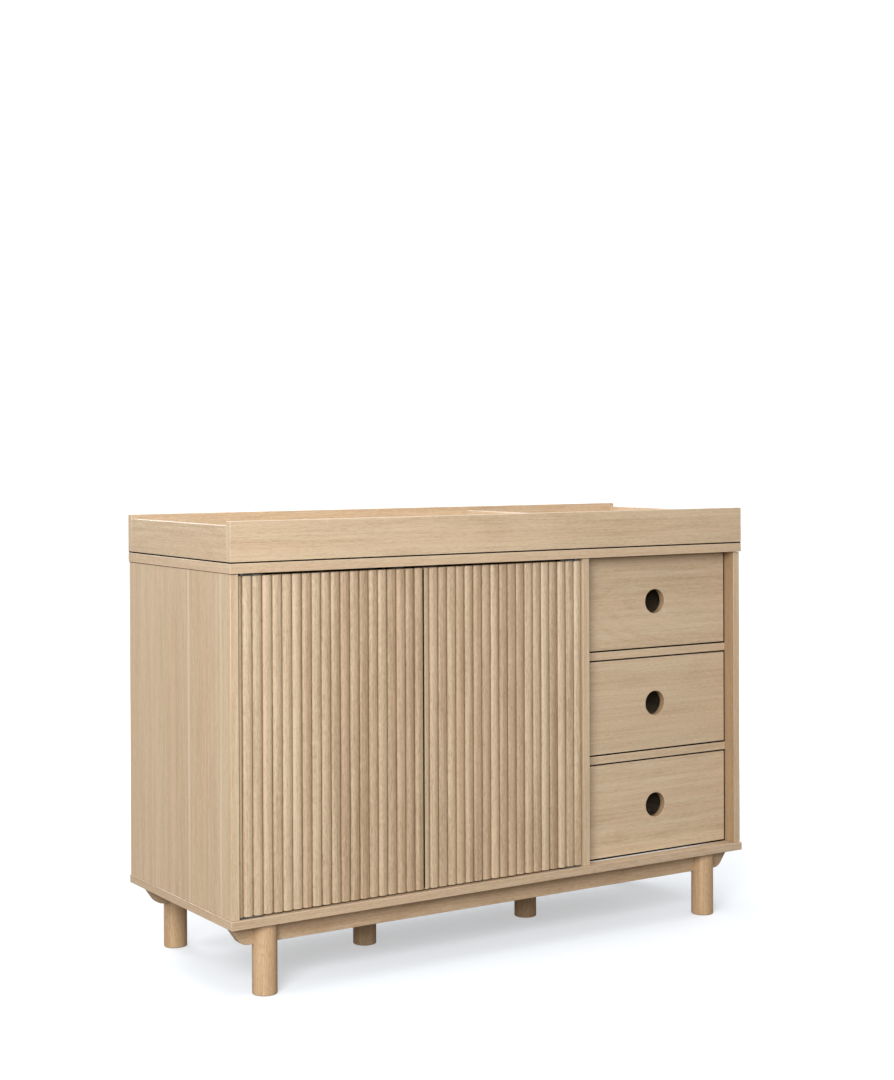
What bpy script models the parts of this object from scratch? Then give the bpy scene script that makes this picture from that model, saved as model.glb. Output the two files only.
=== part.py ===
"""Nursery changing table: an oak-veneered cabinet on six round legs, with two reeded cupboard doors on
pin hinges, three drawers on grooved sides, and a lift-off changing tray. X runs along the front, the
front faces -Y, and the floor is at Z = 0. All sizes are in metres."""

import math

import bmesh
import bpy
from mathutils import Matrix, Vector

# Overall carcass
WIDTH = 1.200
DEPTH = 0.450
LEG_HEIGHT = 0.130
OPENING_HEIGHT = 0.617
BOARD = 0.016
TOP_BOARD = 0.018
BACK_BOARD = 0.003
SIDE_INSET = 0.002
FRONT_INSET = 0.004
TOUCH = 0.0003

# Legs and skirts
LEG_DIAMETER = 0.046
LEG_CHAMFER = 0.0025
CORNER_LEG_FROM_END = 0.082
CORNER_LEG_FROM_EDGE = 0.033
CENTRE_LEG_SPREAD = 0.196
SKIRT_HEIGHT = 0.038
SKIRT_THICKNESS = 0.020
SKIRT_FROM_END = 0.010
SKIRT_END_SLOPE = 0.027
SKIRT_CORNER = 0.012

# Doors
LEFT_DOOR_WIDTH = 0.3875
MEETING_GAP = 0.003
DOOR_SIDE_GAP = 0.0025
DOOR_TOP_GAP = 0.005
DOOR_FOOT_GAP = 0.003
DOOR_BOARD = 0.015
DOOR_SETBACK = 0.008
REED_PITCH = 0.0201
REED_HEIGHT = 0.006
REED_BACKING = 0.001
LEFT_FIRST_REED = 0.0085
RIGHT_FIRST_REED = 0.0127
REED_FACETS = 6

# Pin hinges
PIN_RADIUS = 0.003
PIN_CLEARANCE = 0.0004
PIN_FROM_EDGE = 0.008
PIN_FROM_CREST = 0.006
PIN_COLLAR_RADIUS = 0.005
LEAF_LENGTH = 0.046
LEAF_WIDTH = 0.018
LEAF_THICKNESS = 0.002
LEAF_MARGIN = 0.005

# Push latches
LATCH_FROM_DOOR_EDGE = 0.035
LATCH_BODY_SIDE = 0.016
LATCH_BODY_LENGTH = 0.055
PLUNGER_RADIUS = 0.0035
PLUNGER_BORE_CLEARANCE = 0.0004
PLUNGER_LENGTH = 0.034
PLUNGER_PROUD = 0.0045
PLUNGER_TRAVEL = 0.003
PLUNGER_DOOR_GAP = 0.0005

# Cupboard shelf
SHELF_END_GAP = 0.001
SHELF_FRONT_CLEARANCE = 0.040
SHELF_HEIGHT_SHARE = 0.5

# Drawers
DRAWER_BAY_WIDTH = 0.3827
DRAWER_SETBACK = 0.032
DRAWER_GAP = 0.002
DRAWER_FRONT_BOARD = 0.015
DRAWER_SIDE_BOARD = 0.012
DRAWER_SIDE_DROP = 0.030
DRAWER_SIDE_LIFT = 0.010
DRAWER_REAR_CLEARANCE = 0.0197
DRAWER_BOTTOM_BOARD = 0.004
DRAWER_BOTTOM_LIFT = 0.010
BOTTOM_GROOVE_DEPTH = 0.005
FINGER_HOLE_DIAMETER = 0.050
RAIL_DEPTH = 0.060
RUNNER_HEIGHT = 0.016
RUNNER_SETBACK = 0.040
RUNNER_INTO_GROOVE = 0.006
RUNNER_CLEARANCE = 0.0005
DRAWER_NAMES = ("lower", "middle", "upper")

# Changing tray
TRAY_WALL = 0.015
TRAY_HEIGHT = 0.0735
TRAY_SIDE_DROP = 0.008
TRAY_SHADOW_GAP = 0.0015

# Levels and lines worked out from the sizes above
BASE_Z = LEG_HEIGHT
FLOOR_Z = BASE_Z + BOARD
CEILING_Z = FLOOR_Z + OPENING_HEIGHT
TOP_Z = CEILING_Z + TOP_BOARD
FRONT_Y = -DEPTH / 2
BACK_Y = DEPTH / 2
PANEL_FRONT_Y = FRONT_Y + FRONT_INSET
PANEL_BACK_Y = BACK_Y - BACK_BOARD - TOUCH
SIDE_OUT_X = WIDTH / 2 - SIDE_INSET
SIDE_IN_X = SIDE_OUT_X - BOARD
DIVIDER_RIGHT_X = SIDE_IN_X - DRAWER_BAY_WIDTH
DIVIDER_LEFT_X = DIVIDER_RIGHT_X - BOARD
CREST_Y = FRONT_Y + DOOR_SETBACK
REED_BACK_Y = CREST_Y + REED_HEIGHT + REED_BACKING
DOOR_FACE_Y = REED_BACK_Y + TOUCH
DOOR_BACK_Y = DOOR_FACE_Y + DOOR_BOARD
DOOR_LOW_Z = FLOOR_Z + DOOR_FOOT_GAP
DOOR_HIGH_Z = CEILING_Z - DOOR_TOP_GAP
PIN_Y = CREST_Y + PIN_FROM_CREST
LEFT_DOOR_X = (-SIDE_IN_X + DOOR_SIDE_GAP, -SIDE_IN_X + DOOR_SIDE_GAP + LEFT_DOOR_WIDTH)
RIGHT_DOOR_X = (LEFT_DOOR_X[1] + MEETING_GAP, DIVIDER_LEFT_X - DOOR_SIDE_GAP)
DRAWER_OPENING = (OPENING_HEIGHT - 2 * BOARD) / 3
DRAWER_FACE_Y = FRONT_Y + DRAWER_SETBACK
DRAWER_BOX_Y = DRAWER_FACE_Y + DRAWER_FRONT_BOARD
DRAWER_END_Y = PANEL_BACK_Y - DRAWER_REAR_CLEARANCE
OVERSHOOT = 0.02

FINISHES = {
    "oak_veneer": ((0.66, 0.50, 0.34), 0.55, 0.0),
    "solid_oak": ((0.62, 0.45, 0.29), 0.55, 0.0),
    "reeded_oak": ((0.64, 0.48, 0.32), 0.55, 0.0),
    "back_board": ((0.70, 0.60, 0.46), 0.70, 0.0),
    "drawer_board": ((0.72, 0.62, 0.48), 0.60, 0.0),
    "zinc_steel": ((0.62, 0.62, 0.64), 0.35, 1.0),
    "runner_plastic": ((0.80, 0.79, 0.76), 0.50, 0.0),
    "latch_plastic": ((0.55, 0.55, 0.56), 0.45, 0.0),
}


def clear_scene():
    for obj in list(bpy.data.objects):
        bpy.data.objects.remove(obj)


def new_collection(name):
    collection = bpy.data.collections.new(name)
    bpy.context.scene.collection.children.link(collection)
    return collection


def finish(obj, kind):
    """Gives the object its own Principled material of one of the FINISHES."""
    colour, roughness, metallic = FINISHES[kind]
    material = bpy.data.materials.new(obj.name + "_" + kind)
    material.use_nodes = True
    shader = material.node_tree.nodes["Principled BSDF"]
    shader.inputs["Base Color"].default_value = (*colour, 1.0)
    shader.inputs["Roughness"].default_value = roughness
    shader.inputs["Metallic"].default_value = metallic
    obj.data.materials.clear()
    obj.data.materials.append(material)


def place(obj, collection, kind, mover):
    """Links a finished object, and hangs it on its mover's empty where it has one."""
    collection.objects.link(obj)
    if kind:
        finish(obj, kind)
    if mover:
        obj.parent = mover
        obj.matrix_parent_inverse = mover.matrix_world.inverted()
    return obj


def box_mesh(name, low, high, centre):
    mesh = bpy.data.meshes.new(name)
    bm = bmesh.new()
    bmesh.ops.create_cube(bm, size=1.0)
    bmesh.ops.scale(bm, vec=Vector(high) - Vector(low), verts=bm.verts)
    bmesh.ops.translate(bm, vec=(Vector(low) + Vector(high)) / 2 - centre, verts=bm.verts)
    bm.to_mesh(mesh)
    bm.free()
    return mesh


def box(name, low, high, collection, kind=None, mover=None):
    """A board or block between two corners, with its origin at its centre."""
    centre = (Vector(low) + Vector(high)) / 2
    obj = bpy.data.objects.new(name, box_mesh(name, low, high, centre))
    obj.location = centre
    return place(obj, collection, kind, mover)


def rod(name, radius, start, end, collection, kind=None, mover=None, facets=32):
    """A round bar from start to end, with its origin at its middle and its length along the two points."""
    start = Vector(start)
    end = Vector(end)
    mesh = bpy.data.meshes.new(name)
    bm = bmesh.new()
    bmesh.ops.create_cone(
        bm, cap_ends=True, segments=facets, radius1=radius, radius2=radius, depth=(end - start).length
    )
    bm.to_mesh(mesh)
    bm.free()
    mesh.shade_smooth()
    mesh.set_sharp_from_angle(angle=math.radians(40))
    obj = bpy.data.objects.new(name, mesh)
    obj.rotation_mode = "QUATERNION"
    obj.rotation_quaternion = Vector((0, 0, 1)).rotation_difference(end - start)
    obj.location = (start + end) / 2
    return place(obj, collection, kind, mover)


def plate_from_outline(name, points, thickness, turn, centre, collection, kind, mover=None):
    """A flat outline, drawn in its own XY plane about the centre, given a thickness and turned into place."""
    curve = bpy.data.curves.new(name, "CURVE")
    curve.dimensions = "2D"
    curve.fill_mode = "BOTH"
    curve.extrude = thickness / 2
    spline = curve.splines.new("POLY")
    spline.points.add(len(points) - 1)
    for point, (across, up) in zip(spline.points, points):
        point.co = (across, up, 0, 1)
    spline.use_cyclic_u = True
    sketch = bpy.data.objects.new(name + "_outline", curve)
    sketch.matrix_world = Matrix.Translation(centre) @ turn
    bpy.context.scene.collection.objects.link(sketch)
    bpy.context.view_layer.update()
    mesh = bpy.data.meshes.new_from_object(sketch.evaluated_get(bpy.context.evaluated_depsgraph_get()))
    bm = bmesh.new()
    bm.from_mesh(mesh)
    bmesh.ops.remove_doubles(bm, verts=bm.verts, dist=0.00001)
    bmesh.ops.recalc_face_normals(bm, faces=bm.faces)
    bm.to_mesh(mesh)
    bm.free()
    mesh.name = name
    obj = bpy.data.objects.new(name, mesh)
    obj.matrix_world = sketch.matrix_world
    bpy.data.objects.remove(sketch)
    bpy.data.curves.remove(curve)
    return place(obj, collection, kind, mover)


def combine(obj, other, operation):
    """A live Boolean; the other object becomes a wire helper that is left out of the model."""
    other.hide_render = True
    other.display_type = "WIRE"
    modifier = obj.modifiers.new(operation.lower() + "_" + other.name, "BOOLEAN")
    modifier.operation = operation
    modifier.solver = "EXACT"
    modifier.object = other


def chamfer(obj, width, angle=30):
    modifier = obj.modifiers.new("chamfer", "BEVEL")
    modifier.width = width
    modifier.segments = 2
    modifier.limit_method = "ANGLE"
    modifier.angle_limit = math.radians(angle)


def mover_at(name, point, collection):
    """An empty on a joint's axis; the pieces that move together hang on it."""
    empty = bpy.data.objects.new(name, None)
    empty.location = point
    empty.empty_display_size = 0.05
    collection.objects.link(empty)
    bpy.context.view_layer.update()
    return empty


def mirrored(low, high, side):
    """The X span of a piece on the right (side 1) or its mirror image on the left (side -1)."""
    return (low, high) if side > 0 else (-high, -low)


def build_carcass(parts):
    """Side boards, base, top, back and the divider between cupboard and drawers."""
    for side, name in ((-1, "left_side_panel"), (1, "right_side_panel")):
        low_x, high_x = mirrored(SIDE_IN_X, SIDE_OUT_X, side)
        low = (low_x, PANEL_FRONT_Y, FLOOR_Z + TOUCH)
        high = (high_x, PANEL_BACK_Y, CEILING_Z - TOUCH)
        box(name, low, high, parts, "oak_veneer")
    base = box("base_panel", (-WIDTH / 2, FRONT_Y, BASE_Z), (WIDTH / 2, BACK_Y, FLOOR_Z), parts, "oak_veneer")
    top = box("top_panel", (-WIDTH / 2, FRONT_Y, CEILING_Z), (WIDTH / 2, BACK_Y, TOP_Z), parts, "oak_veneer")
    back_low = (-SIDE_OUT_X, BACK_Y - BACK_BOARD, FLOOR_Z + TOUCH)
    back_high = (SIDE_OUT_X, BACK_Y, CEILING_Z - TOUCH)
    box("back_panel", back_low, back_high, parts, "back_board")
    divider_low = (DIVIDER_LEFT_X, PANEL_FRONT_Y, FLOOR_Z + TOUCH)
    divider_high = (DIVIDER_RIGHT_X, PANEL_BACK_Y, CEILING_Z - TOUCH)
    box("centre_divider", divider_low, divider_high, parts, "oak_veneer")
    return base, top


def build_shelf(parts):
    height = FLOOR_Z + OPENING_HEIGHT * SHELF_HEIGHT_SHARE
    low = (-SIDE_IN_X + SHELF_END_GAP, DOOR_BACK_Y + SHELF_FRONT_CLEARANCE, height - BOARD / 2)
    high = (DIVIDER_LEFT_X - SHELF_END_GAP, PANEL_BACK_Y, height + BOARD / 2)
    box("cupboard_shelf", low, high, parts, "oak_veneer")


def skirt_outline():
    """Half-outline points mirrored about the middle: a bar whose ends slope in to a rounded lower corner."""
    top_half = WIDTH / 2 - SKIRT_FROM_END
    slope = Vector((-SKIRT_END_SLOPE, -SKIRT_HEIGHT))
    reach = min(SKIRT_CORNER, slope.length / 2)
    corner = Vector((top_half, 0)) + slope
    start = corner - slope.normalized() * reach
    end = corner + Vector((-reach, 0))
    arc = []
    for step in range(5):
        share = step / 4
        arc.append(start * (1 - share) ** 2 + corner * 2 * share * (1 - share) + end * share**2)
    right = [Vector((top_half, 0))] + arc
    left = [Vector((-point.x, point.y)) for point in reversed(right)]
    return [tuple(point) for point in right + left]


def build_skirts(parts):
    """Two bars under the base, front and rear, let into the corner legs."""
    stand_up = Matrix.Rotation(math.pi / 2, 4, "X")
    leg_line = DEPTH / 2 - CORNER_LEG_FROM_EDGE
    middle = leg_line - SKIRT_THICKNESS / 2
    for side, name in ((-1, "front_skirt"), (1, "rear_skirt")):
        centre = Vector((0, side * middle, BASE_Z - TOUCH))
        plate_from_outline(name, skirt_outline(), SKIRT_THICKNESS, stand_up, centre, parts, "solid_oak")


def build_legs(parts, cutters):
    """Four corner legs, halved over the skirts, and two full legs on the cabinet's centre line."""
    radius = LEG_DIAMETER / 2
    corner_x = WIDTH / 2 - CORNER_LEG_FROM_END
    corner_y = DEPTH / 2 - CORNER_LEG_FROM_EDGE
    for side_x, side_y, name in (
        (-1, -1, "front_left_leg"),
        (1, -1, "front_right_leg"),
        (-1, 1, "rear_left_leg"),
        (1, 1, "rear_right_leg"),
    ):
        x = side_x * corner_x
        y = side_y * corner_y
        leg = rod(name, radius, (x, y, 0), (x, y, LEG_HEIGHT - TOUCH), parts, "solid_oak")
        chamfer(leg, LEG_CHAMFER)
        inner = y - side_y * (SKIRT_THICKNESS + OVERSHOOT)
        face = y + side_y * TOUCH
        low = (x - radius - OVERSHOOT, min(inner, face), BASE_Z - SKIRT_HEIGHT - 2 * TOUCH)
        high = (x + radius + OVERSHOOT, max(inner, face), BASE_Z + OVERSHOOT)
        combine(leg, box(name + "_halving", low, high, cutters), "DIFFERENCE")
    for side_x, name in ((-1, "centre_left_leg"), (1, "centre_right_leg")):
        x = side_x * CENTRE_LEG_SPREAD
        leg = rod(name, radius, (x, 0, 0), (x, 0, LEG_HEIGHT - TOUCH), parts, "solid_oak")
        chamfer(leg, LEG_CHAMFER)


def reed_rise(valley, across):
    """Height of a reed's curve above its backing, for the reed that starts at the valley."""
    half = REED_PITCH / 2
    share = max(-1.0, min(1.0, (across - valley - half) / half))
    return REED_HEIGHT * math.sqrt(1 - share * share)


def reed_outline(width, first_reed):
    """Flat back at zero and convex reeds towards -Y; the first reed is cut to its stated width."""
    half = REED_PITCH / 2
    valleys = [first_reed - REED_PITCH]
    while valleys[-1] + REED_PITCH < width:
        valleys.append(valleys[-1] + REED_PITCH)
    reeds = [(0, reed_rise(valleys[0], 0))]
    for valley in valleys:
        for facet in range(REED_FACETS):
            angle = math.pi * facet / REED_FACETS
            across = valley + half - half * math.cos(angle)
            if 0 < across < width:
                reeds.append((across, REED_HEIGHT * math.sin(angle)))
    reeds.append((width, reed_rise(valleys[-1], width)))
    return [(width, 0), (0, 0)] + [(across, -REED_BACKING - rise) for across, rise in reeds]


def build_door(name, span, hinge_side, first_reed, parts):
    """A door board with its reeded facing, hanging on an empty on the pin's axis."""
    pin_x = hinge_pin_x(span, hinge_side)
    mover = mover_at(name + "_axis", (pin_x, PIN_Y, DOOR_LOW_Z), parts)
    low = (span[0], DOOR_FACE_Y, DOOR_LOW_Z)
    high = (span[1], DOOR_BACK_Y, DOOR_HIGH_Z)
    box(name + "_panel", low, high, parts, "oak_veneer", mover)
    outline = reed_outline(span[1] - span[0], first_reed)
    centre = Vector((span[0], REED_BACK_Y, (DOOR_LOW_Z + DOOR_HIGH_Z) / 2))
    height = DOOR_HIGH_Z - DOOR_LOW_Z
    flat = Matrix.Identity(4)
    plate_from_outline(name + "_reeds", outline, height, flat, centre, parts, "reeded_oak", mover)
    return mover


def hinge_pin_x(span, hinge_side):
    """The pin stands in from the door's hinged edge: the low X edge for side -1, the high one for side 1."""
    if hinge_side < 0:
        return span[0] + PIN_FROM_EDGE
    return span[1] - PIN_FROM_EDGE


def leaf_corners(pin_x, hinge_side, low_z, high_z):
    """A leaf's two corners: it runs from just outside its pin towards the middle of the door."""
    outer = pin_x + hinge_side * LEAF_MARGIN
    inner = outer - hinge_side * LEAF_LENGTH
    front = PIN_Y - LEAF_MARGIN
    low = (min(outer, inner), front, low_z)
    high = (max(outer, inner), front + LEAF_WIDTH, high_z)
    return low, high


def build_hinge(door, end, span, hinge_side, board, parts, cutters, mover):
    """A leaf and pin on the door's edge, and a holed leaf let into the board above or below it."""
    pin_x = hinge_pin_x(span, hinge_side)
    if end == "top":
        up = 1
        door_edge = DOOR_HIGH_Z
        board_face = CEILING_Z
    else:
        up = -1
        door_edge = DOOR_LOW_Z
        board_face = FLOOR_Z
    levels = (door_edge + up * TOUCH, door_edge + up * (TOUCH + LEAF_THICKNESS))
    low, high = leaf_corners(pin_x, hinge_side, min(levels), max(levels))
    leaf = box(door + "_" + end + "_hinge_leaf", low, high, parts, "zinc_steel", mover)
    inside = door_edge + up * (TOUCH + LEAF_THICKNESS / 2)
    pin_tip = board_face + up * (LEAF_THICKNESS - TOUCH)
    collar_tip = board_face - up * TOUCH
    pin = rod(leaf.name + "_pin", PIN_RADIUS, (pin_x, PIN_Y, inside), (pin_x, PIN_Y, pin_tip), cutters)
    collar_ends = ((pin_x, PIN_Y, inside), (pin_x, PIN_Y, collar_tip))
    collar = rod(leaf.name + "_collar", PIN_COLLAR_RADIUS, *collar_ends, cutters)
    combine(leaf, collar, "UNION")
    combine(leaf, pin, "UNION")
    levels = (board_face, board_face + up * LEAF_THICKNESS)
    low, high = leaf_corners(pin_x, hinge_side, min(levels), max(levels))
    socket = box(door + "_" + end + "_hinge_socket", low, high, parts, "zinc_steel")
    hole_ends = ((pin_x, PIN_Y, board_face - up * OVERSHOOT), (pin_x, PIN_Y, board_face + up * OVERSHOOT))
    hole = rod(socket.name + "_hole", PIN_RADIUS + PIN_CLEARANCE, *hole_ends, cutters)
    combine(socket, hole, "DIFFERENCE")
    margin = Vector((TOUCH, TOUCH, TOUCH))
    pocket_low = Vector(low) - margin
    pocket_high = Vector(high) + margin
    if up > 0:
        pocket_low.z = board_face - OVERSHOOT
    else:
        pocket_high.z = board_face + OVERSHOOT
    combine(board, box(socket.name + "_pocket", pocket_low, pocket_high, cutters), "DIFFERENCE")


def build_latch(name, x, parts, cutters):
    """A push latch under the top board: a bored block and the sprung plunger that meets the door's back."""
    half = LATCH_BODY_SIDE / 2
    front = DOOR_BACK_Y + PLUNGER_DOOR_GAP + PLUNGER_PROUD
    axis_z = CEILING_Z - TOUCH - half
    low = (x - half, front, axis_z - half)
    high = (x + half, front + LATCH_BODY_LENGTH, axis_z + half)
    body = box(name + "_body", low, high, parts, "latch_plastic")
    tip = DOOR_BACK_Y + PLUNGER_DOOR_GAP
    bore_end = tip + PLUNGER_LENGTH + PLUNGER_TRAVEL + TOUCH
    bore_radius = PLUNGER_RADIUS + PLUNGER_BORE_CLEARANCE
    bore = rod(name + "_bore", bore_radius, (x, front - OVERSHOOT, axis_z), (x, bore_end, axis_z), cutters)
    combine(body, bore, "DIFFERENCE")
    mover = mover_at(name + "_axis", (x, tip, axis_z), parts)
    ends = ((x, tip, axis_z), (x, tip + PLUNGER_LENGTH, axis_z))
    rod(name + "_plunger", PLUNGER_RADIUS, *ends, parts, "latch_plastic", mover, facets=24)


def opening_floor(index):
    """Height of the floor of a drawer opening, counted from the lowest."""
    return FLOOR_Z + index * (DRAWER_OPENING + BOARD)


def build_rails(parts):
    for index, name in ((1, "lower_drawer_rail"), (2, "upper_drawer_rail")):
        high_z = opening_floor(index)
        low = (DIVIDER_RIGHT_X + TOUCH, DRAWER_FACE_Y, high_z - BOARD)
        high = (SIDE_IN_X - TOUCH, DRAWER_FACE_Y + RAIL_DEPTH, high_z)
        box(name, low, high, parts, "oak_veneer")


def drawer_frame(index):
    """The drawer box's outer X span and the Z span of its sides."""
    floor = opening_floor(index)
    left = DIVIDER_RIGHT_X + DRAWER_GAP
    right = SIDE_IN_X - DRAWER_GAP
    low_z = floor + DRAWER_GAP + DRAWER_SIDE_LIFT
    high_z = floor + DRAWER_OPENING - DRAWER_GAP - DRAWER_SIDE_DROP
    return left, right, low_z, high_z


def build_drawer(index, parts, cutters):
    """Front with a round finger hole, two grooved sides, a back, and a bottom held in grooves."""
    name = DRAWER_NAMES[index] + "_drawer"
    left, right, low_z, high_z = drawer_frame(index)
    floor = opening_floor(index)
    mid_x = (left + right) / 2
    mover = mover_at(name + "_axis", (mid_x, DRAWER_FACE_Y, floor + DRAWER_OPENING / 2), parts)
    front_low = (left, DRAWER_FACE_Y, floor + DRAWER_GAP)
    front_high = (right, DRAWER_BOX_Y, floor + DRAWER_OPENING - DRAWER_GAP)
    front = box(name + "_front", front_low, front_high, parts, "oak_veneer", mover)
    hole_z = floor + DRAWER_OPENING / 2
    hole_ends = ((mid_x, DRAWER_FACE_Y - OVERSHOOT, hole_z), (mid_x, DRAWER_BOX_Y + OVERSHOOT, hole_z))
    hole = rod(name + "_finger_cut", FINGER_HOLE_DIAMETER / 2, *hole_ends, cutters, facets=48)
    combine(front, hole, "DIFFERENCE")
    box_front = DRAWER_BOX_Y + TOUCH
    box_back = DRAWER_END_Y
    bottom_z = low_z + DRAWER_BOTTOM_LIFT
    groove = cut_bottom_groove(name, left, right, bottom_z, box_front, box_back, cutters)
    combine(front, groove, "DIFFERENCE")
    for side, word in ((-1, "left"), (1, "right")):
        outer = left if side < 0 else right
        inner = outer - side * DRAWER_SIDE_BOARD
        low = (min(outer, inner), box_front, low_z)
        high = (max(outer, inner), box_back, high_z)
        board = box(name + "_" + word + "_side", low, high, parts, "drawer_board", mover)
        combine(board, groove, "DIFFERENCE")
        combine(board, runner_groove(board.name, outer, side, index, cutters), "DIFFERENCE")
    inner_left = left + DRAWER_SIDE_BOARD + TOUCH
    inner_right = right - DRAWER_SIDE_BOARD - TOUCH
    back_low = (inner_left, box_back - DRAWER_SIDE_BOARD, bottom_z + DRAWER_BOTTOM_BOARD + TOUCH)
    box(name + "_back", back_low, (inner_right, box_back, high_z), parts, "drawer_board", mover)
    reach = DRAWER_SIDE_BOARD - BOTTOM_GROOVE_DEPTH + TOUCH
    bottom_low = (left + reach, DRAWER_BOX_Y - BOTTOM_GROOVE_DEPTH + TOUCH, bottom_z)
    bottom_high = (right - reach, box_back, bottom_z + DRAWER_BOTTOM_BOARD)
    box(name + "_bottom", bottom_low, bottom_high, parts, "drawer_board", mover)


def cut_bottom_groove(name, left, right, bottom_z, box_front, box_back, cutters):
    """One cutter for the groove that holds the bottom in both sides and in the front."""
    reach = DRAWER_SIDE_BOARD - BOTTOM_GROOVE_DEPTH
    low = (left + reach, DRAWER_BOX_Y - BOTTOM_GROOVE_DEPTH, bottom_z - TOUCH)
    high = (right - reach, box_back + OVERSHOOT, bottom_z + DRAWER_BOTTOM_BOARD + TOUCH)
    return box(name + "_bottom_groove", low, high, cutters)


def runner_level(index):
    """Mid-height of a drawer's sides, where its runners lie."""
    low_z, high_z = drawer_frame(index)[2:]
    return (low_z + high_z) / 2


def runner_span():
    """Front and rear ends of the runners; their rear ends line up with the drawer sides'."""
    return DRAWER_BOX_Y + RUNNER_SETBACK, DRAWER_END_Y


def runner_groove(name, outer, side, index, cutters):
    level = runner_level(index)
    half = RUNNER_HEIGHT / 2 + RUNNER_CLEARANCE
    front = runner_span()[0] - RUNNER_CLEARANCE
    depth = outer - side * (RUNNER_INTO_GROOVE + RUNNER_CLEARANCE)
    past = outer + side * OVERSHOOT
    low = (min(depth, past), front, level - half)
    high = (max(depth, past), DRAWER_END_Y + OVERSHOOT, level + half)
    return box(name + "_runner_groove", low, high, cutters)


def build_runners(index, parts):
    """Two runners screwed to the divider and the right side board; the drawer's grooves ride on them."""
    level = runner_level(index)
    front, rear = runner_span()
    for side, word in ((-1, "left"), (1, "right")):
        wall = DIVIDER_RIGHT_X if side < 0 else SIDE_IN_X
        fixed = wall - side * TOUCH
        reach = wall - side * (DRAWER_GAP + RUNNER_INTO_GROOVE)
        low = (min(fixed, reach), front, level - RUNNER_HEIGHT / 2)
        high = (max(fixed, reach), rear, level + RUNNER_HEIGHT / 2)
        box(DRAWER_NAMES[index] + "_" + word + "_runner", low, high, parts, "runner_plastic")


def build_tray(parts):
    """The changing tray: long front and back walls, lower end walls between them, and a divider."""
    low_z = TOP_Z + TRAY_SHADOW_GAP
    high_z = low_z + TRAY_HEIGHT
    side_z = high_z - TRAY_SIDE_DROP
    mover = mover_at("tray_axis", (0, 0, low_z), parts)
    for side, name in ((-1, "tray_front_wall"), (1, "tray_back_wall")):
        outer = side * DEPTH / 2
        inner = outer - side * TRAY_WALL
        low = (-WIDTH / 2, min(outer, inner), low_z)
        high = (WIDTH / 2, max(outer, inner), high_z)
        box(name, low, high, parts, "oak_veneer", mover)
    inner_y = DEPTH / 2 - TRAY_WALL - TOUCH
    for side, name in ((-1, "tray_left_wall"), (1, "tray_right_wall")):
        low_x, high_x = mirrored(WIDTH / 2 - TRAY_WALL, WIDTH / 2, side)
        box(name, (low_x, -inner_y, low_z), (high_x, inner_y, side_z), parts, "oak_veneer", mover)
    middle = (DIVIDER_LEFT_X + DIVIDER_RIGHT_X) / 2
    low = (middle - TRAY_WALL / 2, -inner_y, low_z)
    high = (middle + TRAY_WALL / 2, inner_y, side_z)
    box("tray_divider", low, high, parts, "oak_veneer", mover)


def build_cupboard(base, top, parts, cutters):
    """Both doors with their hinges and latches."""
    doors = (
        ("left_door", LEFT_DOOR_X, -1, LEFT_FIRST_REED, LEFT_DOOR_X[1] - LATCH_FROM_DOOR_EDGE),
        ("right_door", RIGHT_DOOR_X, 1, RIGHT_FIRST_REED, RIGHT_DOOR_X[0] + LATCH_FROM_DOOR_EDGE),
    )
    for name, span, hinge_side, first_reed, latch_x in doors:
        mover = build_door(name, span, hinge_side, first_reed, parts)
        build_hinge(name, "top", span, hinge_side, top, parts, cutters, mover)
        build_hinge(name, "foot", span, hinge_side, base, parts, cutters, mover)
        build_latch(name.replace("door", "latch"), latch_x, parts, cutters)


def build():
    clear_scene()
    parts = new_collection("changing_table")
    cutters = new_collection("cutters")
    cutters.hide_render = True
    base, top = build_carcass(parts)
    build_shelf(parts)
    build_skirts(parts)
    build_legs(parts, cutters)
    build_cupboard(base, top, parts, cutters)
    build_rails(parts)
    for index in range(len(DRAWER_NAMES)):
        build_drawer(index, parts, cutters)
        build_runners(index, parts)
    build_tray(parts)


build()
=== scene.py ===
import math

import bmesh
import bpy
from mathutils import Matrix, Vector


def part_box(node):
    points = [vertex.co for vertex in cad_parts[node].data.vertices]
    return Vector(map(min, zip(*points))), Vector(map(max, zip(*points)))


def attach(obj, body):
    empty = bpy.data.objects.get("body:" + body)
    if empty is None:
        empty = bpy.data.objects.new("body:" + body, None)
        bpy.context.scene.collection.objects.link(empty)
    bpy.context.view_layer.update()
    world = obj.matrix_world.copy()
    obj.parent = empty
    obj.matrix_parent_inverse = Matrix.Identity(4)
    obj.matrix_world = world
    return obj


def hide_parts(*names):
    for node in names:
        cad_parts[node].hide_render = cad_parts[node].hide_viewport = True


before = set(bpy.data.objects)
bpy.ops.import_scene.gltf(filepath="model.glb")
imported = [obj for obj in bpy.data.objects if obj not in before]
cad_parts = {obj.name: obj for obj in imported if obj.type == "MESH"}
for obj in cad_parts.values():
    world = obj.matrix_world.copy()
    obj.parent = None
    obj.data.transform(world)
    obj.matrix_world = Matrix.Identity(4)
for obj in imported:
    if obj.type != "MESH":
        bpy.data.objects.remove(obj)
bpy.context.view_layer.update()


# ---- Legs -----------------------------------------------------------------------------------------
# Six round legs turned from solid oak, matt lacquered, with a small chamfer round the foot. The corner
# legs are notched over the skirts, the two middle legs are plain, and all are bolted up into the base.

CORNER_LEGS = ("front_left_leg", "front_right_leg", "rear_left_leg", "rear_right_leg")
CENTRE_LEGS = ("centre_left_leg", "centre_right_leg")
LEG_SIDES = 96
FOOT_CHAMFER = 0.0028
NOTCH_ARRIS = 0.0004
NOTCH_CLEARANCE = 0.0003
CUT_PAST = 0.02
LEAF_OFFSET = 0.1020


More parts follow.
